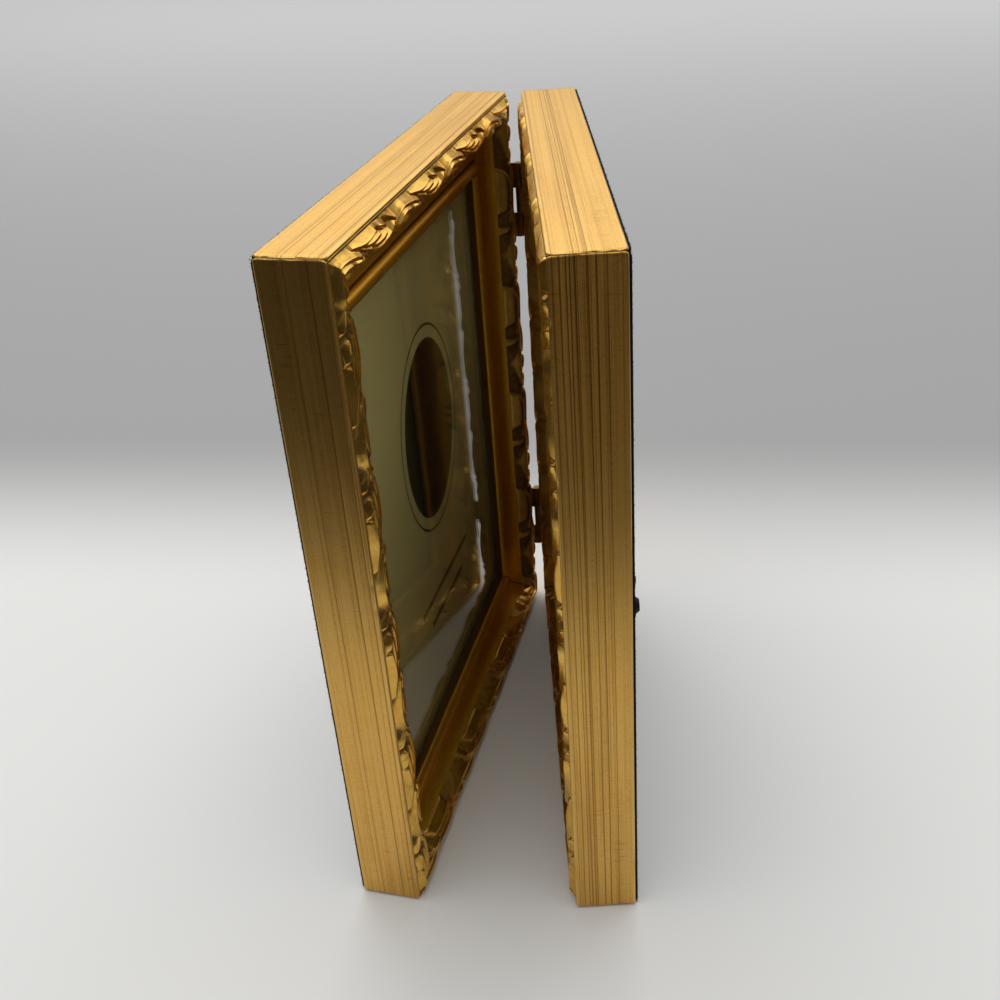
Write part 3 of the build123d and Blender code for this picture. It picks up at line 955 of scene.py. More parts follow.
@dataclass
class GiltFrame:
    """One frame's mouldings and ornaments: four mitred lengths with a pressed strip on each."""

    side: Side
    moulding: Moulding
    scroll: LeafScroll
    tiles: tuple[Array, Array]
    finishes: Finishes
    comb_lines: int = 15
    comb_depth: float = 0.09
    comb_wander: float = 70.0
    comb_fade: float = 40.0
    dents: int = 7
    dent_half: tuple[float, float] = (0.5, 1.6)
    dent_depth: tuple[float, float] = (0.1, 0.35)
    edge_reach: float = 0.7
    chip_depth: float = 0.3
    chip_spacing: float = 2.2
    wear_spacing: float = 9.0
    rub_depth: float = 0.12
    rub_spacing: float = 12.0
    rail_step: float = 1.2
    strip_step: float = 0.24
    strip_points: int = 62
    strip_tuck: float = 0.05

    def words(self) -> dict[Rail, str]:
        """The CAD node of each rail.

        Returns:
            Node names by rail.
        """
        left = self.side is Side.LEFT
        return {
            Rail.BOTTOM: f"{self.side.value}_bottom_rail",
            Rail.TOP: f"{self.side.value}_top_rail",
            Rail.RIGHT: f"{self.side.value}_{'hinge' if left else 'free'}_stile",
            Rail.LEFT: f"{self.side.value}_{'free' if left else 'hinge'}_stile",
        }

    def section(self) -> tuple[Array, Array, Array]:
        """The moulding's closed section, anticlockwise with width to the right and height up.

        Straight runs and circular arcs in a row, from the back round by the rabbet, bead, cove, seat, quirk
        and outer edge. The seat lies a little under the ornament's ground, which covers it.

        Returns:
            Points, umber share at each point, and how far the combing reaches each point.
        """
        m = self.moulding
        back = m.width - m.rabbet_width
        bead_at = m.groove_at + m.groove_width
        bead_end = bead_at + m.bead_width
        drop, run = m.cove_top - m.cove_foot, m.groove_at - m.cove_at
        chord = math.hypot(drop, run)
        hollow = (
            (m.cove_at + m.groove_at) / 2 - m.cove_hollow * drop / chord,
            (m.cove_top + m.cove_foot) / 2 - m.cove_hollow * run / chord,
        )
        seat_w = np.linspace(m.cove_at - 0.1, m.shoulder_at + 0.1, 24)
        seat = np.stack([seat_w, self.scroll.ground(seat_w) - 1.6], 1)
        quirk_at = m.edge_radius + m.edge_flat
        fillet_at, second_at = quirk_at + m.quirk_width, quirk_at + m.quirk_width + m.quirk_fillet
        floor, lip = m.edge_height - m.quirk_depth, m.edge_height - 0.2
        slant, back_slant = (radius * (1 - math.sqrt(0.5)) for radius in (m.edge_radius, m.back_radius))
        runs = [
            (straight((m.back_radius, 0), (back, 0), 6), 0.7, 0.0),
            (straight((back, 0), (back, m.rabbet_depth), 4), 0.9, 0.0),
            (straight((back, m.rabbet_depth), (m.width, m.rabbet_depth), 4), 0.9, 0.0),
            (straight((m.width, m.rabbet_depth), (m.width, m.bead_foot), 6), 0.95, 0.0),
            (straight((m.width, m.bead_foot), (bead_end, m.bead_foot), 3), 0.6, 0.0),
            (
                arc_through(
                    (bead_end, m.bead_foot),
                    ((bead_at + bead_end) / 2, m.bead_foot + m.bead_rise),
                    (bead_at, m.bead_foot),
                    30,
                ),
                0.0,
                0.25,
            ),
            (straight((bead_at, m.bead_foot), (bead_at, m.groove_floor), 3), 0.6, 0.0),
            (straight((bead_at, m.groove_floor), (m.groove_at, m.groove_floor), 4), 0.7, 0.0),
            (straight((m.groove_at, m.groove_floor), (m.groove_at, m.cove_foot), 3), 0.6, 0.0),
            (arc_through((m.groove_at, m.cove_foot), hollow, (m.cove_at, m.cove_top), 32), 0.06, 0.3),
            (seat, 0.8, 0.0),
            (straight((m.shoulder_at, lip), ((m.shoulder_at + second_at) / 2, floor), 4), 0.7, 0.0),
            (straight(((m.shoulder_at + second_at) / 2, floor), (second_at, lip), 4), 0.8, 0.0),
            (
                arc_through((second_at, lip), ((second_at + fillet_at) / 2, m.edge_height), (fillet_at, lip), 6),
                0.15,
                0.0,
            ),
            (straight((fillet_at, lip), ((fillet_at + quirk_at) / 2, floor), 4), 0.7, 0.0),
            (straight(((fillet_at + quirk_at) / 2, floor), (quirk_at, m.edge_height), 4), 0.8, 0.0),
            (straight((quirk_at, m.edge_height), (m.edge_radius, m.edge_height), 2), 0.1, 0.2),
            (
                arc_through(
                    (m.edge_radius, m.edge_height),
                    (slant, m.edge_height - slant),
                    (0, m.edge_height - m.edge_radius),
                    7,
                ),
                0.0,
                0.3,
            ),
            (straight((0, m.edge_height - m.edge_radius), (0, m.back_radius), 120), 0.0, 1.0),
            (arc_through((0, m.back_radius), (back_slant, back_slant), (m.back_radius, 0), 6), 0.2, 0.2),
        ]
        points = np.concatenate([part for part, _, _ in runs])
        umber = np.concatenate([np.full(len(part), share) for part, share, _ in runs])
        comb = np.concatenate([np.full(len(part), share) for part, _, share in runs])
        for _ in range(2):
            umber = (np.roll(umber, 1) + 2 * umber + np.roll(umber, -1)) / 4
        return points, umber, comb

    def stations(self, length: float, spacing: float) -> Array:
        """Places along a rail, close together near its corners and spaced evenly between.

        Args:
            length: The rail's outer length.
            spacing: Distance between the even places.

        Returns:
            Shares of the length, from 0 to 1.
        """
        near = np.array([0, 0.08, 0.16, 0.25, 0.35, 0.46, 0.58, 0.72, 0.9, 1.2, 1.6, 2.2, 3.0, 4.0])
        middle = np.linspace(5.0, length - 5.0, int((length - 10.0) / spacing) + 1)
        return np.concatenate([near, middle, length - near[::-1]]) / length

    def combing(
        self, rail: Rail, along: Array, points: Array, path: Array, reach: Array, rng: np.random.Generator
    ) -> Array:
        """Scratched lines that run the length of the rail.

        Each line is a Gaussian across the path about a slightly wandering place, and fades in and out along
        the rail with smooth noise. The bold ones lie at set heights on the outer face.

        Args:
            rail: Which length.
            along: Place along, by ring and place in the section.
            points: The section.
            path: Distance round the section.
            reach: How far combing reaches each place in the section.
            rng: The source of the lines.

        Returns:
            Depth shares from 0 to 1, by ring and place.
        """
        total = np.zeros(along.shape)
        outer = reach == 1.0
        bold = BOLD_LINES.get((self.side, rail)) or tuple(rng.uniform(1.5, 18.0, 6))
        middles = [float(np.interp(-height, -points[outer, 1], path[outer])) for height in bold]
        combed = path[reach > 0.15]
        middles += rng.uniform(combed.min(), combed.max(), self.comb_lines).tolist()
        if self.side is Side.RIGHT:
            middles += rng.uniform(path[outer].min(), path[outer].max(), self.comb_lines).tolist()
        ring = along[:, len(path) // 2]
        for number, middle in enumerate(middles):
            strong = number < len(bold)
            wander = (0.2 if strong else 0.35) * (smooth_noise(ring, self.comb_wander, rng) - 0.5)
            shown = smooth_noise(ring, self.comb_fade, rng) + (0.45 if strong else -0.5)
            shown = np.clip(shown * 2.5, 0, 1)
            half = rng.uniform(0.1, 0.15) if strong else rng.uniform(0.06, 0.11)
            depth = rng.uniform(0.7, 1.0) if strong else rng.uniform(0.2, 0.6)
            total = np.maximum(total, depth * shown[:, None] * hump(path - middle - wander[:, None], half))
        return total * np.clip(reach * 1.5, 0, 1)

    def rounded(self, length: float, along: Array, across: Array, height: Array) -> tuple[Array, Array, Array]:
        """Rounds a rail's two outer corners.

        Near a corner the square of side r is drawn on to a quarter disc of radius r, and its front and back ends
        on to part of a ball: each offset from the square's inner corner is scaled by the longest over the length.

        Args:
            length: The rail's outer length.
            along: Places along it.
            across: Places in from its outer edge.
            height: Heights above the back.

        Returns:
            The three, rounded.
        """
        m = self.moulding
        r = m.corner_radius
        for mirrored in (False, True):
            x = length - along if mirrored else along
            px, pw = r - x, r - across
            inside = (px > 0) & (pw > 0)
            wide = np.maximum(np.maximum(px, pw), 1e-9)
            near = np.where(inside, np.minimum(px, pw) / wide, 0.0)
            back = near * np.clip(m.end_radius - height, 0, None)
            front = near * np.clip(height - m.edge_height + m.end_radius, 0, m.end_radius)
            ends = np.maximum(back, front) / m.end_radius * r
            pull = np.where(inside, np.maximum(wide, ends) / np.sqrt(px ** 2 + pw ** 2 + ends ** 2 + 1e-18), 1.0)
            x = np.where(inside, r - px * pull, x)
            across = np.where(inside, r - pw * pull, across)
            height = height + (back - front) * (1 - pull)
            along = length - x if mirrored else x
        return along, across, height

    def rail(self, rail: Rail, seed: int) -> Surface:
        """One mitred length: the section carried along it, with rounded outer corners, combing and small dents.

        A point at width w sits at w + (L - 2 w) t along the rail, so both ends lie on the mitre. Dents and chips
        are Gaussians that push the front edge and the corners in.

        Args:
            rail: Which length.
            seed: Seed of its marks.

        Returns:
            The surface in metres, in place.
        """
        m = self.moulding
        rng = np.random.default_rng(seed)
        points, umber, reach = self.section()
        path = distance_round(points)
        length = m.length(rail)
        share = self.stations(length, self.rail_step)
        across = np.broadcast_to(points[:, 0], (len(share), len(points))).copy()
        height = np.broadcast_to(points[:, 1], across.shape).copy()
        along = across + (length - 2 * across) * share[:, None]

        combed = self.combing(rail, along, points, path[:-1], reach, rng)
        across += np.where(np.abs(points[:, 0]) < 1e-6, self.comb_depth * combed, 0.0)
        front_edge = hump(np.hypot(points[:, 0], points[:, 1] - m.edge_height), self.edge_reach)
        worn_edge = hump(np.hypot(points[:, 0], points[:, 1] - m.edge_height + 0.2), 0.55)
        worn_edge += hump(np.hypot(points[:, 0], points[:, 1] - 0.3), 0.4)
        dent = np.zeros(along.shape)
        for _ in range(self.dents):
            middle, half = rng.uniform(3, length - 3), rng.uniform(*self.dent_half)
            dent += rng.uniform(*self.dent_depth) * hump(along - middle, half)
        across += dent * front_edge * 0.8
        height -= dent * front_edge * 0.6
        corner = hump(np.minimum(along, length - along), 0.5) * (points[:, 0] < self.edge_reach)
        chips = smooth_noise(np.broadcast_to(path[:-1], along.shape), self.chip_spacing, rng)
        chip = self.chip_depth * chips ** 2 * corner
        across += chip
        along += np.where(along < length / 2, chip, -chip)
        patchy = smooth_noise(along, self.wear_spacing, rng)
        wear = np.clip((worn_edge + corner) * (0.9 * patchy - 0.1), 0, 1)

        along, across, height = self.rounded(length, along, across, height)
        rings = StandingPlace(self.side, m).world(m.flat(rail, along, across, height))
        gap_at, gap_half = (0.3, 0.22) if rail in (Rail.LEFT, Rail.RIGHT) else (0.0, 0.08)
        seam = 0.95 * hump(np.minimum(share, 1 - share)[:, None] * length - gap_at, gap_half)
        # The inner parts take the painted amber of bounced light, and a duller gloss.
        inner = (points[:, 0] > m.cove_at).astype(float)
        marks = {"patina_and_shade": np.maximum(umber, seam), "comb": combed, "wear": wear, "inner": inner}
        return swept(rings, along, path, marks)

    def wash_and_shade(self, rail: Rail, across: Array, raised: Array, crease: Array) -> Array:
        """Umber in a strip's creases and deep ground, and painted shade on the top rail's inner flank and over the
        hinge stile's inner side.

        How much there is differs by rail: less on the top and bottom rails and on the right frame than on the left
        frame's stiles.

        Args:
            rail: Which length.
            across: Places in from the outer edge.
            raised: Height over the ground.
            crease: Depth under the mean round each place.

        Returns:
            Shares from 0 to 1.
        """
        by_rail = {Rail.BOTTOM: 0.4, Rail.TOP: 0.35}.get(rail, 0.4 if self.side is Side.RIGHT else 1.0)
        deep = np.clip((-raised - 0.2) / 0.6, 0, 1)
        # Painted shade: the top rail's inner flank faces down, away from the light, and is darkened as if in shade.
        flank_shade = np.clip(across - 7.4, 0, 1) * np.clip(1 - 4 * raised, 0, 1) * (rail is Rail.TOP)
        patina_and_shade = by_rail * np.clip(2.3 * crease - 0.05 + 0.75 * deep + 0.5 * flank_shade, 0, 0.75)
        # Painted shade: the hinge stile's inner side lies in the shade between the two frames, and is darkened to
        # match.
        if self.words()[rail].endswith("hinge_stile"):
            patina_and_shade = np.maximum(patina_and_shade, 0.4 * np.clip((across - 6.5) / 1.5, 0, 1))
        return patina_and_shade

    def ornament(self, rail: Rail, seed: int) -> Surface:
        """One pressed strip: a height field over the seat, mitred with the rail and closed underneath.

        The top is the leaf scroll's height, its repeats centred on the rail, a little rubbed down here and there.

        Args:
            rail: Which length.
            seed: Seed of its marks.

        Returns:
            The surface in metres, in place.
        """
        m, pitch = self.moulding, self.scroll.pitch
        rng = np.random.default_rng(seed)
        length = m.length(rail)
        top = np.linspace(m.cove_at, m.shoulder_at, self.strip_points)
        section = np.concatenate([[m.shoulder_at + self.strip_tuck, m.cove_at - self.strip_tuck], top])
        share = np.linspace(0, 1, int(length / self.strip_step))
        across = np.broadcast_to(section, (len(share), len(section)))
        along = across + (length - 2 * across) * share[:, None]
        start = length / 2 - pitch / 2
        height, crease = (self.scroll.at(grid, along - start + 20 * pitch, across) for grid in self.tiles)
        raised = height - self.scroll.ground(across)
        height = height - self.rub_depth * np.clip(raised, 0, 1) * smooth_noise(along, self.rub_spacing, rng)
        height[:, 0] = m.edge_height - 0.55
        height[:, 1] = m.cove_top - 0.75
        path = distance_round(np.stack([section, 0 * section], 1))
        rings = StandingPlace(self.side, m).world(m.flat(rail, along, across, height))
        wear = 0.5 * np.clip(raised - 0.4, 0, 1)
        marks = {"patina_and_shade": self.wash_and_shade(rail, across, raised, crease), "comb": 0 * wear, "wear": wear}
        return swept(rings, along, path, marks)

    def build(self) -> list[bpy.types.Object]:
        """Makes and dresses the four lengths and their strips.

        Returns:
            The new pieces.
        """
        made = []
        body = f"{self.side.value}_frame"
        for number, (rail, node) in enumerate(self.words().items()):
            seed = 100 * (1 + list(Side).index(self.side)) + number
            bar = self.rail(rail, seed).piece(node + "_gilt", self.finishes.gilt)
            strip = self.ornament(rail, seed + 50).piece(node + "_leaf_scroll", self.finishes.gilt_relief, 60.0)
            for piece, replaced, slot in ((bar, node, "gilt_wood"), (strip, node + "_ornament", "gilt_ornament")):
                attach(piece, body)
                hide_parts(replaced)
                made.append(piece)
        return made


@dataclass
class Filling:
    """The printed card in one frame's rabbet, and the velvet on its back."""

    side: Side
    moulding: Moulding
    finishes: Finishes
    card_edge: float = 0.1
    velvet_edge: float = 0.5
    border_margin: float = 0.6
    border_velvet: float = 0.7
    hairs_per_mm: float = 7.0

    def slab(self, bottom: float, top: float, edge: float) -> Surface:
        """A thin sheet of the card's size with rounded edges.

        Rings run round the sheet from the middle of the back, over the edge, to the middle of the front: each
        is the rectangle shrunk towards its middle, at the height that a half-round edge gives.

        Args:
            bottom: Height of the back face.
            top: Height of the front face.
            edge: Depth of the rounded edge.

        Returns:
            The surface in metres, in place, with its UV in millimetres from the sheet's middle.
        """
        m = self.moulding
        middle = np.array([m.frame_width, m.frame_height]) / 2
        half = np.array([m.card_width, m.card_height]) / 2
        side = np.linspace(-1, 1, 25)[:-1]
        ones = np.ones(24)
        corners = ((side, -ones), (ones, side), (-side, ones), (-ones, -side))
        around = np.concatenate([np.stack(pair, 1) for pair in corners])
        swing = np.linspace(-math.pi / 2, math.pi / 2, 9)
        shrink = np.concatenate([np.linspace(0.02, 0.9, 10), np.ones(9), np.linspace(0.9, 0.02, 10)])
        inset = np.concatenate([np.full(10, edge), edge * (1 - np.cos(swing)), np.full(10, edge)])
        rise = np.concatenate([np.zeros(10), (np.sin(swing) + 1) / 2, np.ones(10)])
        flat = middle + around * ((half - inset[:, None]) * shrink[:, None])[:, None, :]
        height = np.broadcast_to((bottom + (top - bottom) * rise)[:, None], flat.shape[:2])
        points = np.concatenate([flat, height[..., None]], -1)
        rings = StandingPlace(self.side, m).world(points)
        made = swept(rings, flat[..., 0], np.arange(len(around) + 1.0), {"patina_and_shade": 0 * height})
        made.corner_uv = (flat - middle).reshape(-1, 2)[made.quads]
        return made

    def build(self) -> list[bpy.types.Object]:
        """Makes the card, the velvets and their stray pile.

        Returns:
            The new pieces.
        """
        m, word, looks = self.moulding, self.side.value, self.finishes
        body = f"{word}_frame"
        card_top = m.rabbet_depth - m.glass_thickness - m.stack_gap
        sheet = self.slab(card_top - m.card_thickness, card_top, self.card_edge)
        card = sheet.piece(f"{word}_photo_card_print", looks.card)
        velvet = self.slab(-m.velvet, 0.0, self.velvet_edge).piece(f"{word}_panel_velvet_pile", looks.velvet)
        strips = Surface.merged([self.border(rail) for rail in Rail])
        border = strips.piece(f"{word}_back_border_pile", looks.velvet)
        needles = Surface.merged([self.fuzz(rail, 900 + number) for number, rail in enumerate(Rail)])
        fuzz = needles.piece(f"{word}_back_border_fuzz", looks.velvet)
        for piece, node, slot in (
            (card, "photo_card", "printed_card"),
            (velvet, "panel_velvet", "black_velvet"),
            (border, "back_border", "black_velvet"),
        ):
            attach(piece, body)
            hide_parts(f"{word}_{node}")
        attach(fuzz, body)
        strip_width = m.width - m.rabbet_width - self.border_margin
        outer = np.array([m.frame_width, m.frame_height]) - 2 * self.border_margin
        ring = (outer.prod() - (outer - 2 * strip_width).prod()) * MM * MM
        return [card, velvet, border, fuzz]

    def border(self, rail: Rail) -> Surface:
        """One mitred velvet strip on the back of a rail: a thin section with half-round edges carried along it.

        Args:
            rail: Which length.

        Returns:
            The surface in metres, in place.
        """
        m = self.moulding
        low, high = self.border_margin, m.width - m.rabbet_width
        half = self.border_velvet / 2
        swing = np.linspace(0, math.pi, 9)
        left = np.stack([low + half - half * np.sin(swing), half * np.cos(swing) - half], 1)
        right = np.stack([high - half + half * np.sin(swing), -half * np.cos(swing) - half], 1)
        section = np.concatenate([left, right])
        length = m.length(rail)
        ends = np.array([0, 0.1, 0.25, 0.45, 0.7, 1.0, 1.4, 1.9]) / length
        share = np.concatenate([ends, np.linspace(3 / length, 1 - 3 / length, 110), 1 - ends[::-1]])
        across = np.broadcast_to(section[:, 0], (len(share), len(section)))
        height = np.broadcast_to(section[:, 1], across.shape)
        along = across + (length - 2 * across) * share[:, None]
        reach = m.corner_radius + 0.6
        out_along, out_across = reach - np.minimum(along, length - along), reach - across
        wide = np.maximum(np.maximum(out_along, out_across), 1e-9)
        near = np.clip(np.minimum(out_along, out_across), 0, None) / wide
        pull = near * wide * (1 - 1 / np.sqrt(1 + near ** 2))
        across = across + pull
        along = along + np.where(along < length / 2, pull, -pull)
        height = height * (1 - 0.6 * near)
        rings = StandingPlace(self.side, m).world(m.flat(rail, along, across, height))
        return swept(rings, along, distance_round(section), {"patina_and_shade": 0 * along})

    def fuzz(self, rail: Rail, seed: int) -> Surface:
        """Stray pile along a strip's outer edge: thin four-sided needles that lean out and back at random.

        Each needle is a square foot and a small square tip joined by flat sides. The corners are the foot's or
        the tip's middle plus half a width along and half a width up the edge.

        Args:
            rail: Which length.
            seed: Seed of the needles.

        Returns:
            The surface in metres, in place.
        """
        m = self.moulding
        rng = np.random.default_rng(seed)
        length = m.length(rail)
        count = int(length * self.hairs_per_mm)
        foot = np.stack(
            [
                rng.uniform(1.0, length - 1.0, count),
                np.full(count, self.border_margin + 0.12),
                -rng.uniform(0.1, 1.0, count) * self.border_velvet,
            ],
            1,
        )
        lean = np.stack(
            [rng.normal(0, 0.2, count), -rng.uniform(0.05, 0.3, count), rng.normal(-0.1, 0.17, count)], 1
        )
        corner = np.array([[-1, 0, -1], [1, 0, -1], [1, 0, 1], [-1, 0, 1]], float)
        near = foot[:, None, :] + 0.05 * corner
        far = (foot + lean)[:, None, :] + 0.012 * corner
        ends = np.concatenate([near, far], 1)
        points = StandingPlace(self.side, m).world(m.flat(rail, ends[..., 0], ends[..., 1], ends[..., 2]))
        sides = np.array([[3, 2, 1, 0], [4, 5, 6, 7], [1, 5, 4, 0], [2, 6, 5, 1], [3, 7, 6, 2], [0, 4, 7, 3]])
        quads = (np.arange(count)[:, None, None] * 8 + sides).reshape(-1, 4)
        uv = np.zeros((len(quads), 4, 2))
        return Surface(points.reshape(-1, 3), quads, uv, {"patina_and_shade": np.zeros(count * 8)}, [])


@dataclass
class Fittings:
    """The fittings and fillings whose solids show as they are, and the hinges' screw heads."""

    moulding: Moulding
    finishes: Finishes
    hinge_heights: tuple[float, float] = (40.0, 180.0)
    screw_reach: float = 8.0
    screw_height: float = 14.5
    head_radius: float = 1.9
    slot_half: float = 0.22

    def screws(self, side: Side) -> bpy.types.Object:
        """The four slotted heads in one frame's hinge leaves, each as two half discs with a slot between.

        A half disc is an arc closed by its chord, lifted from under the leaf's face to just over it, with a small
        slope round the top.

        Args:
            side: Which frame.

        Returns:
            The piece.
        """
        face = self.moulding.frame_width + 0.8 if side is Side.LEFT else -0.8
        out = 1.0 if side is Side.LEFT else -1.0
        tilt = math.asin(self.slot_half / self.head_radius)
        swing = np.linspace(tilt, math.pi - tilt, 18)
        arc = self.head_radius * np.stack([np.cos(swing), np.sin(swing)], 1)
        middle = arc.mean(0)
        scale, lift = np.array([1.0, 1.0, 0.9]), np.array([-0.4, 0.14, 0.3])
        rings = middle + (arc - middle) * scale[:, None, None]
        halves = []
        for number, (height, step) in enumerate((h, s) for h in self.hinge_heights for s in (-1, 1)):
            slant = 0.5 + 1.1 * number
            turn = np.array([[math.cos(slant), math.sin(slant)], [-math.sin(slant), math.cos(slant)]])
            for flip in (1.0, -1.0):
                disc = rings @ turn * flip
                points = np.stack(
                    [
                        np.broadcast_to((face + out * lift)[:, None], disc.shape[:2]),
                        height + step * self.screw_reach + out * disc[..., 0],
                        self.screw_height + disc[..., 1],
                    ],
                    -1,
                )
                placed = StandingPlace(side, self.moulding).world(points)
                halves.append(swept(placed, disc[..., 0], np.arange(len(arc) + 1.0), {"patina_and_shade": 0 * disc[..., 0]}))
        piece = Surface.merged(halves).piece(f"{side.value}_hinge_screw_heads", self.finishes.screw_brass)
        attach(piece, f"{side.value}_frame")
        return piece

    def build(self) -> list[bpy.types.Object]:
        """Gives each remaining node its finish, and makes the hinge screws.

        Returns:
            The new pieces.
        """
        looks = self.finishes
        dressed = {
            "glass": looks.glass,
            "packing_board": looks.board,
            "back_panel": looks.fibre,
            "corner_wedges": looks.steel,
            "button_screws": looks.lacquer,
            "button": looks.lacquer,
            "leaf": looks.brass,
            "pin": looks.brass,
        }
        for name, node in frame["nodes"].items():
            finish = next((finish for ending, finish in dressed.items() if name.endswith(ending)), None)
            if finish:
                node.data.materials.clear()
                node.data.materials.append(finish)
                log.info("dressed %s in %s", name, finish.name)
        return [self.screws(side) for side in Side]


# ---------------------------------------------------------------- stage


@dataclass
class Studio:
    """A pale floor, four soft lights, dark cards low in front for the gilding to mirror, and the camera.

    The camera's place is in millimetres and its turn in degrees. Everything else is in metres.
    """

    camera_place: tuple[float, float, float] = (50.3, -331.3, 309.4)
    camera_turn: tuple[float, float, float] = (60.6, 3.39, 6.22)
    lens: float = 41.26
    sensor: float = 36.0
    shift: tuple[float, float] = (-0.013, -0.053)
    card_height: float = 0.002

    def sheet(self, name: str, points: list, material: bpy.types.Material) -> bpy.types.Object:
        """One flat stage sheet from its four corners in metres.

        Args:
            name: Its name.
            points: The corners.
            material: Its finish.

        Returns:
            The object, marked as stage.
        """
        mesh = bpy.data.meshes.new(name)
        mesh.from_pydata(points, [], [(0, 1, 2, 3)])
        mesh.materials.append(material)
        made = bpy.data.objects.new(name, mesh)
        bpy.context.scene.collection.objects.link(made)
        return made

    def paper(self) -> bpy.types.Material:
        """Matt pale studio paper, with a band of painted shade behind the object that pales again further off.

        Returns:
            The material.
        """
        material, tree = Finish("pale_studio_paper").start()
        place = add_node(tree, "TexCoord").outputs["Object"]
        depth = add_node(tree, "SeparateXYZ", {0: place}).outputs[1]
        colour = hex_colour("#F0F0EF")
        # Painted shade: the paper darkens in a band behind the object, then pales again further off.
        for low, high, over in ((0.07, 0.23, "#A8A9AA"), (0.3, 1.9, "#D0D1D2")):
            spread = {"Value": depth, "From Min": low, "From Max": high}
            share = add_node(tree, "MapRange", spread, interpolation_type="SMOOTHSTEP").outputs[0]
            laid = {0: share, 6: colour, 7: hex_colour(over)}
            colour = add_node(tree, "Mix", laid, data_type="RGBA").outputs[2]
        shader = add_node(tree, "BsdfPrincipled", {"Base Color": colour, "Roughness": 0.9})
        add_node(tree, "OutputMaterial", {"Surface": shader.outputs[0]})
        return material

    def dark_card(self) -> bpy.types.Material:
        """Matt dark card, paler in the middle and further off, as the near room is in the gilding.

        Returns:
            The material.
        """
        material, tree = Finish("matt_dark_card").start()
        place = add_node(tree, "TexCoord").outputs["Object"]
        side, depth, _ = add_node(tree, "SeparateXYZ", {0: place}).outputs
        share = 1.0
        for value, low, high in ((side, -0.12, 0.07), (side, 0.22, 0.13), (depth, -0.22, -0.6)):
            ramp = add_node(tree, "MapRange", {"Value": value, "From Min": low, "From Max": high}).outputs[0]
            share = add_node(tree, "Math", {0: share, 1: ramp}, operation="MULTIPLY").outputs[0]
        greys = {0: share, 6: hex_colour("#21190D"), 7: hex_colour("#9C8E78")}
        grey = add_node(tree, "Mix", greys, data_type="RGBA").outputs[2]
        shader = add_node(tree, "BsdfPrincipled", {"Base Color": grey, "Roughness": 1.0})
        add_node(tree, "OutputMaterial", {"Surface": shader.outputs[0]})
        return material

    def lamp(self, name: str, place: tuple, target: tuple, size: tuple, power: float) -> None:
        """A rectangular soft light.

        Args:
            name: Its name.
            place: Where it stands, in metres.
            target: What it faces.
            size: Width and height in metres.
            power: Watts.
        """
        data = bpy.data.lights.new(name, "AREA")
        data.shape = "RECTANGLE"
        data.size, data.size_y = size
        data.energy = power
        lamp = bpy.data.objects.new(name, data)
        lamp.visible_camera = False
        lamp.location = place
        lamp.rotation_euler = (Vector(target) - Vector(place)).to_track_quat("-Z", "Y").to_euler()
        bpy.context.scene.collection.objects.link(lamp)

    def world(self) -> bpy.types.World:
        """A grey room that lights the object, seen by the camera as a paler wall.

        Returns:
            The world.
        """
        world = bpy.data.worlds.new("studio")
        world.use_nodes = True
        tree = world.node_tree
        tree.nodes.clear()
        path = add_node(tree, "LightPath").outputs["Is Camera Ray"]
        room = add_node(tree, "Background", {"Color": hex_colour("#B3B2AF"), "Strength": 0.9})
        seen = add_node(tree, "Background", {"Color": hex_colour("#CDCECE"), "Strength": 1.0})
        both = add_node(tree, "MixShader", {0: path, 1: room.outputs[0], 2: seen.outputs[0]})
        add_node(tree, "OutputWorld", {"Surface": both.outputs[0]})
        return world

    def camera(self) -> bpy.types.Object:
        """The camera that took the photograph.

        Returns:
            The linked camera.
        """
        data = bpy.data.cameras.new("photograph")
        data.lens, data.sensor_width = self.lens, self.sensor
        data.shift_x, data.shift_y = self.shift
        data.clip_start = 0.01
        camera = bpy.data.objects.new("photograph", data)
        camera.location = tuple(value * MM for value in self.camera_place)
        camera.rotation_euler = Euler(tuple(math.radians(value) for value in self.camera_turn))
        bpy.context.scene.collection.objects.link(camera)
        return camera

    def build(self) -> None:
        """Sets the stage, the lights, the world and the camera."""
        self.sheet("floor", [(-9, -4, 0), (9, -4, 0), (9, 14, 0), (-9, 14, 0)], self.paper())
        dark = self.dark_card()
        flat_cards = {
            "dark_card_flat": ((-2, -1), (2, -1), (2, -0.36), (-2, -0.105)),
            "dark_card_side_0": ((0.16, -0.242), (2, -0.36), (2, 0.0), (0.16, -0.13)),
            "dark_card_side_1": ((-2, -0.105), (-0.24, -0.217), (-0.24, -0.1), (-2, 0.1)),
        }
        cards = [
            self.sheet(name, [(*corner, self.card_height) for corner in corners], dark)
            for name, corners in flat_cards.items()
        ]
        cards.append(self.sheet("dark_card_upright", [(-2, -1, 0), (2, -1, 0), (2, -1, 0.9), (-2, -1, 0.9)], dark))
        # Painted reflection: the dark cards are seen only in reflections, as a dark room low in front of the frame.
        for card in cards:
            card.visible_camera = card.visible_diffuse = card.visible_shadow = False
        middle = (0.0, 0.0, 0.15)
        self.lamp("back_softbox", (-0.6, 2.3, 1.65), middle, (2.8, 1.5), 19.2)
        self.lamp("low_softbox", (-1.32, 2.64, 0.2), middle, (1.08, 0.36), 1.3)
        self.lamp("right_softbox", (1.5, 1.9, 0.85), middle, (1.3, 1.2), 7.0)
        self.lamp("top_softbox", (-0.2, 0.1, 1.7), (0.0, 0.0, 0.0), (2.0, 2.0), 15.5)
        scene = bpy.context.scene
        scene.world = self.world()
        scene.camera = self.camera()
        scene.view_settings.view_transform = "Standard"


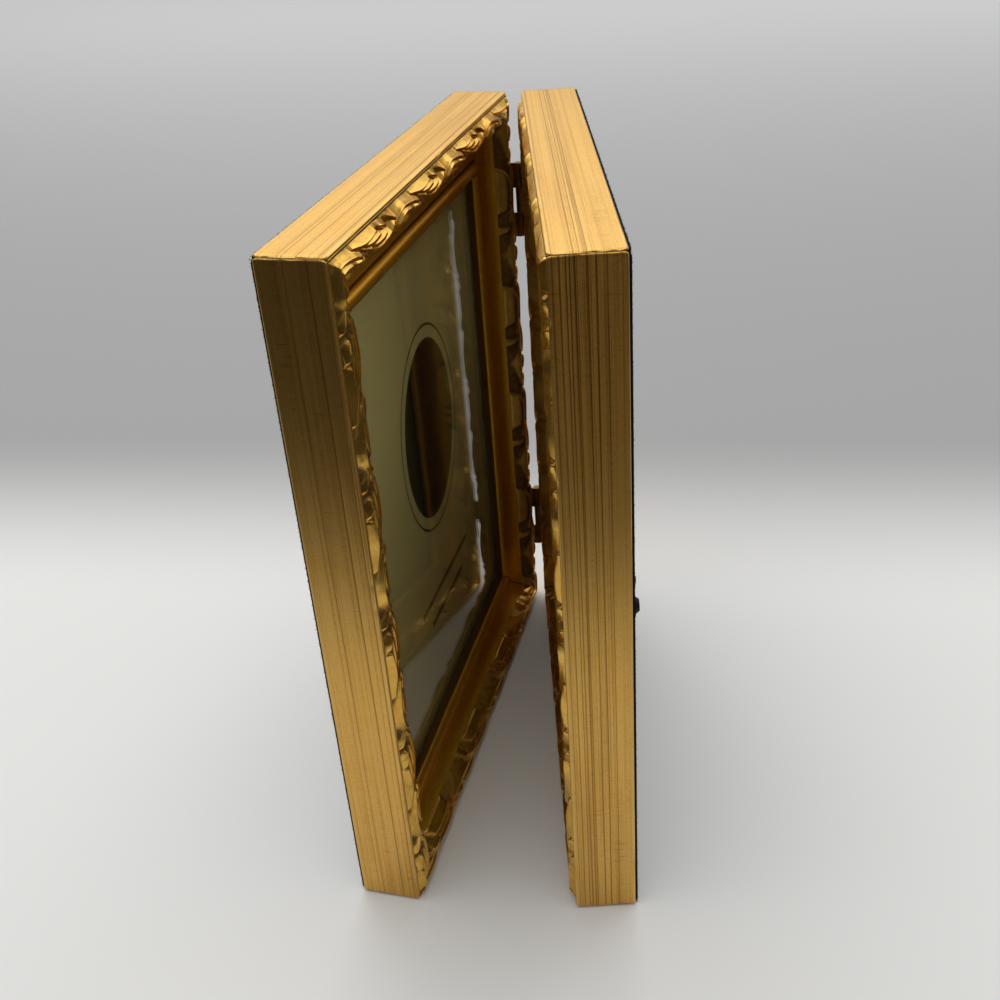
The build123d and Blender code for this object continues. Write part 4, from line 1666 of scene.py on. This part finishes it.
def main() -> None:
    """Builds every sub-assembly in order."""
    logging.basicConfig(level=logging.INFO, format="%(message)s")
    finishes, moulding, scroll = Finishes(), Moulding(), LeafScroll()
    tile = scroll.tile()
    tiles = (tile, scroll.creases(tile))
    pieces = Fittings(moulding, finishes).build()
    for side in Side:
        pieces += GiltFrame(side, moulding, scroll, tiles, finishes).build()
        pieces += Filling(side, moulding, finishes).build()
    for piece in pieces:
        log.info("built %s with %d faces", piece.name, len(piece.data.polygons))
    Studio().build()


if __name__ == "__main__":
    main()
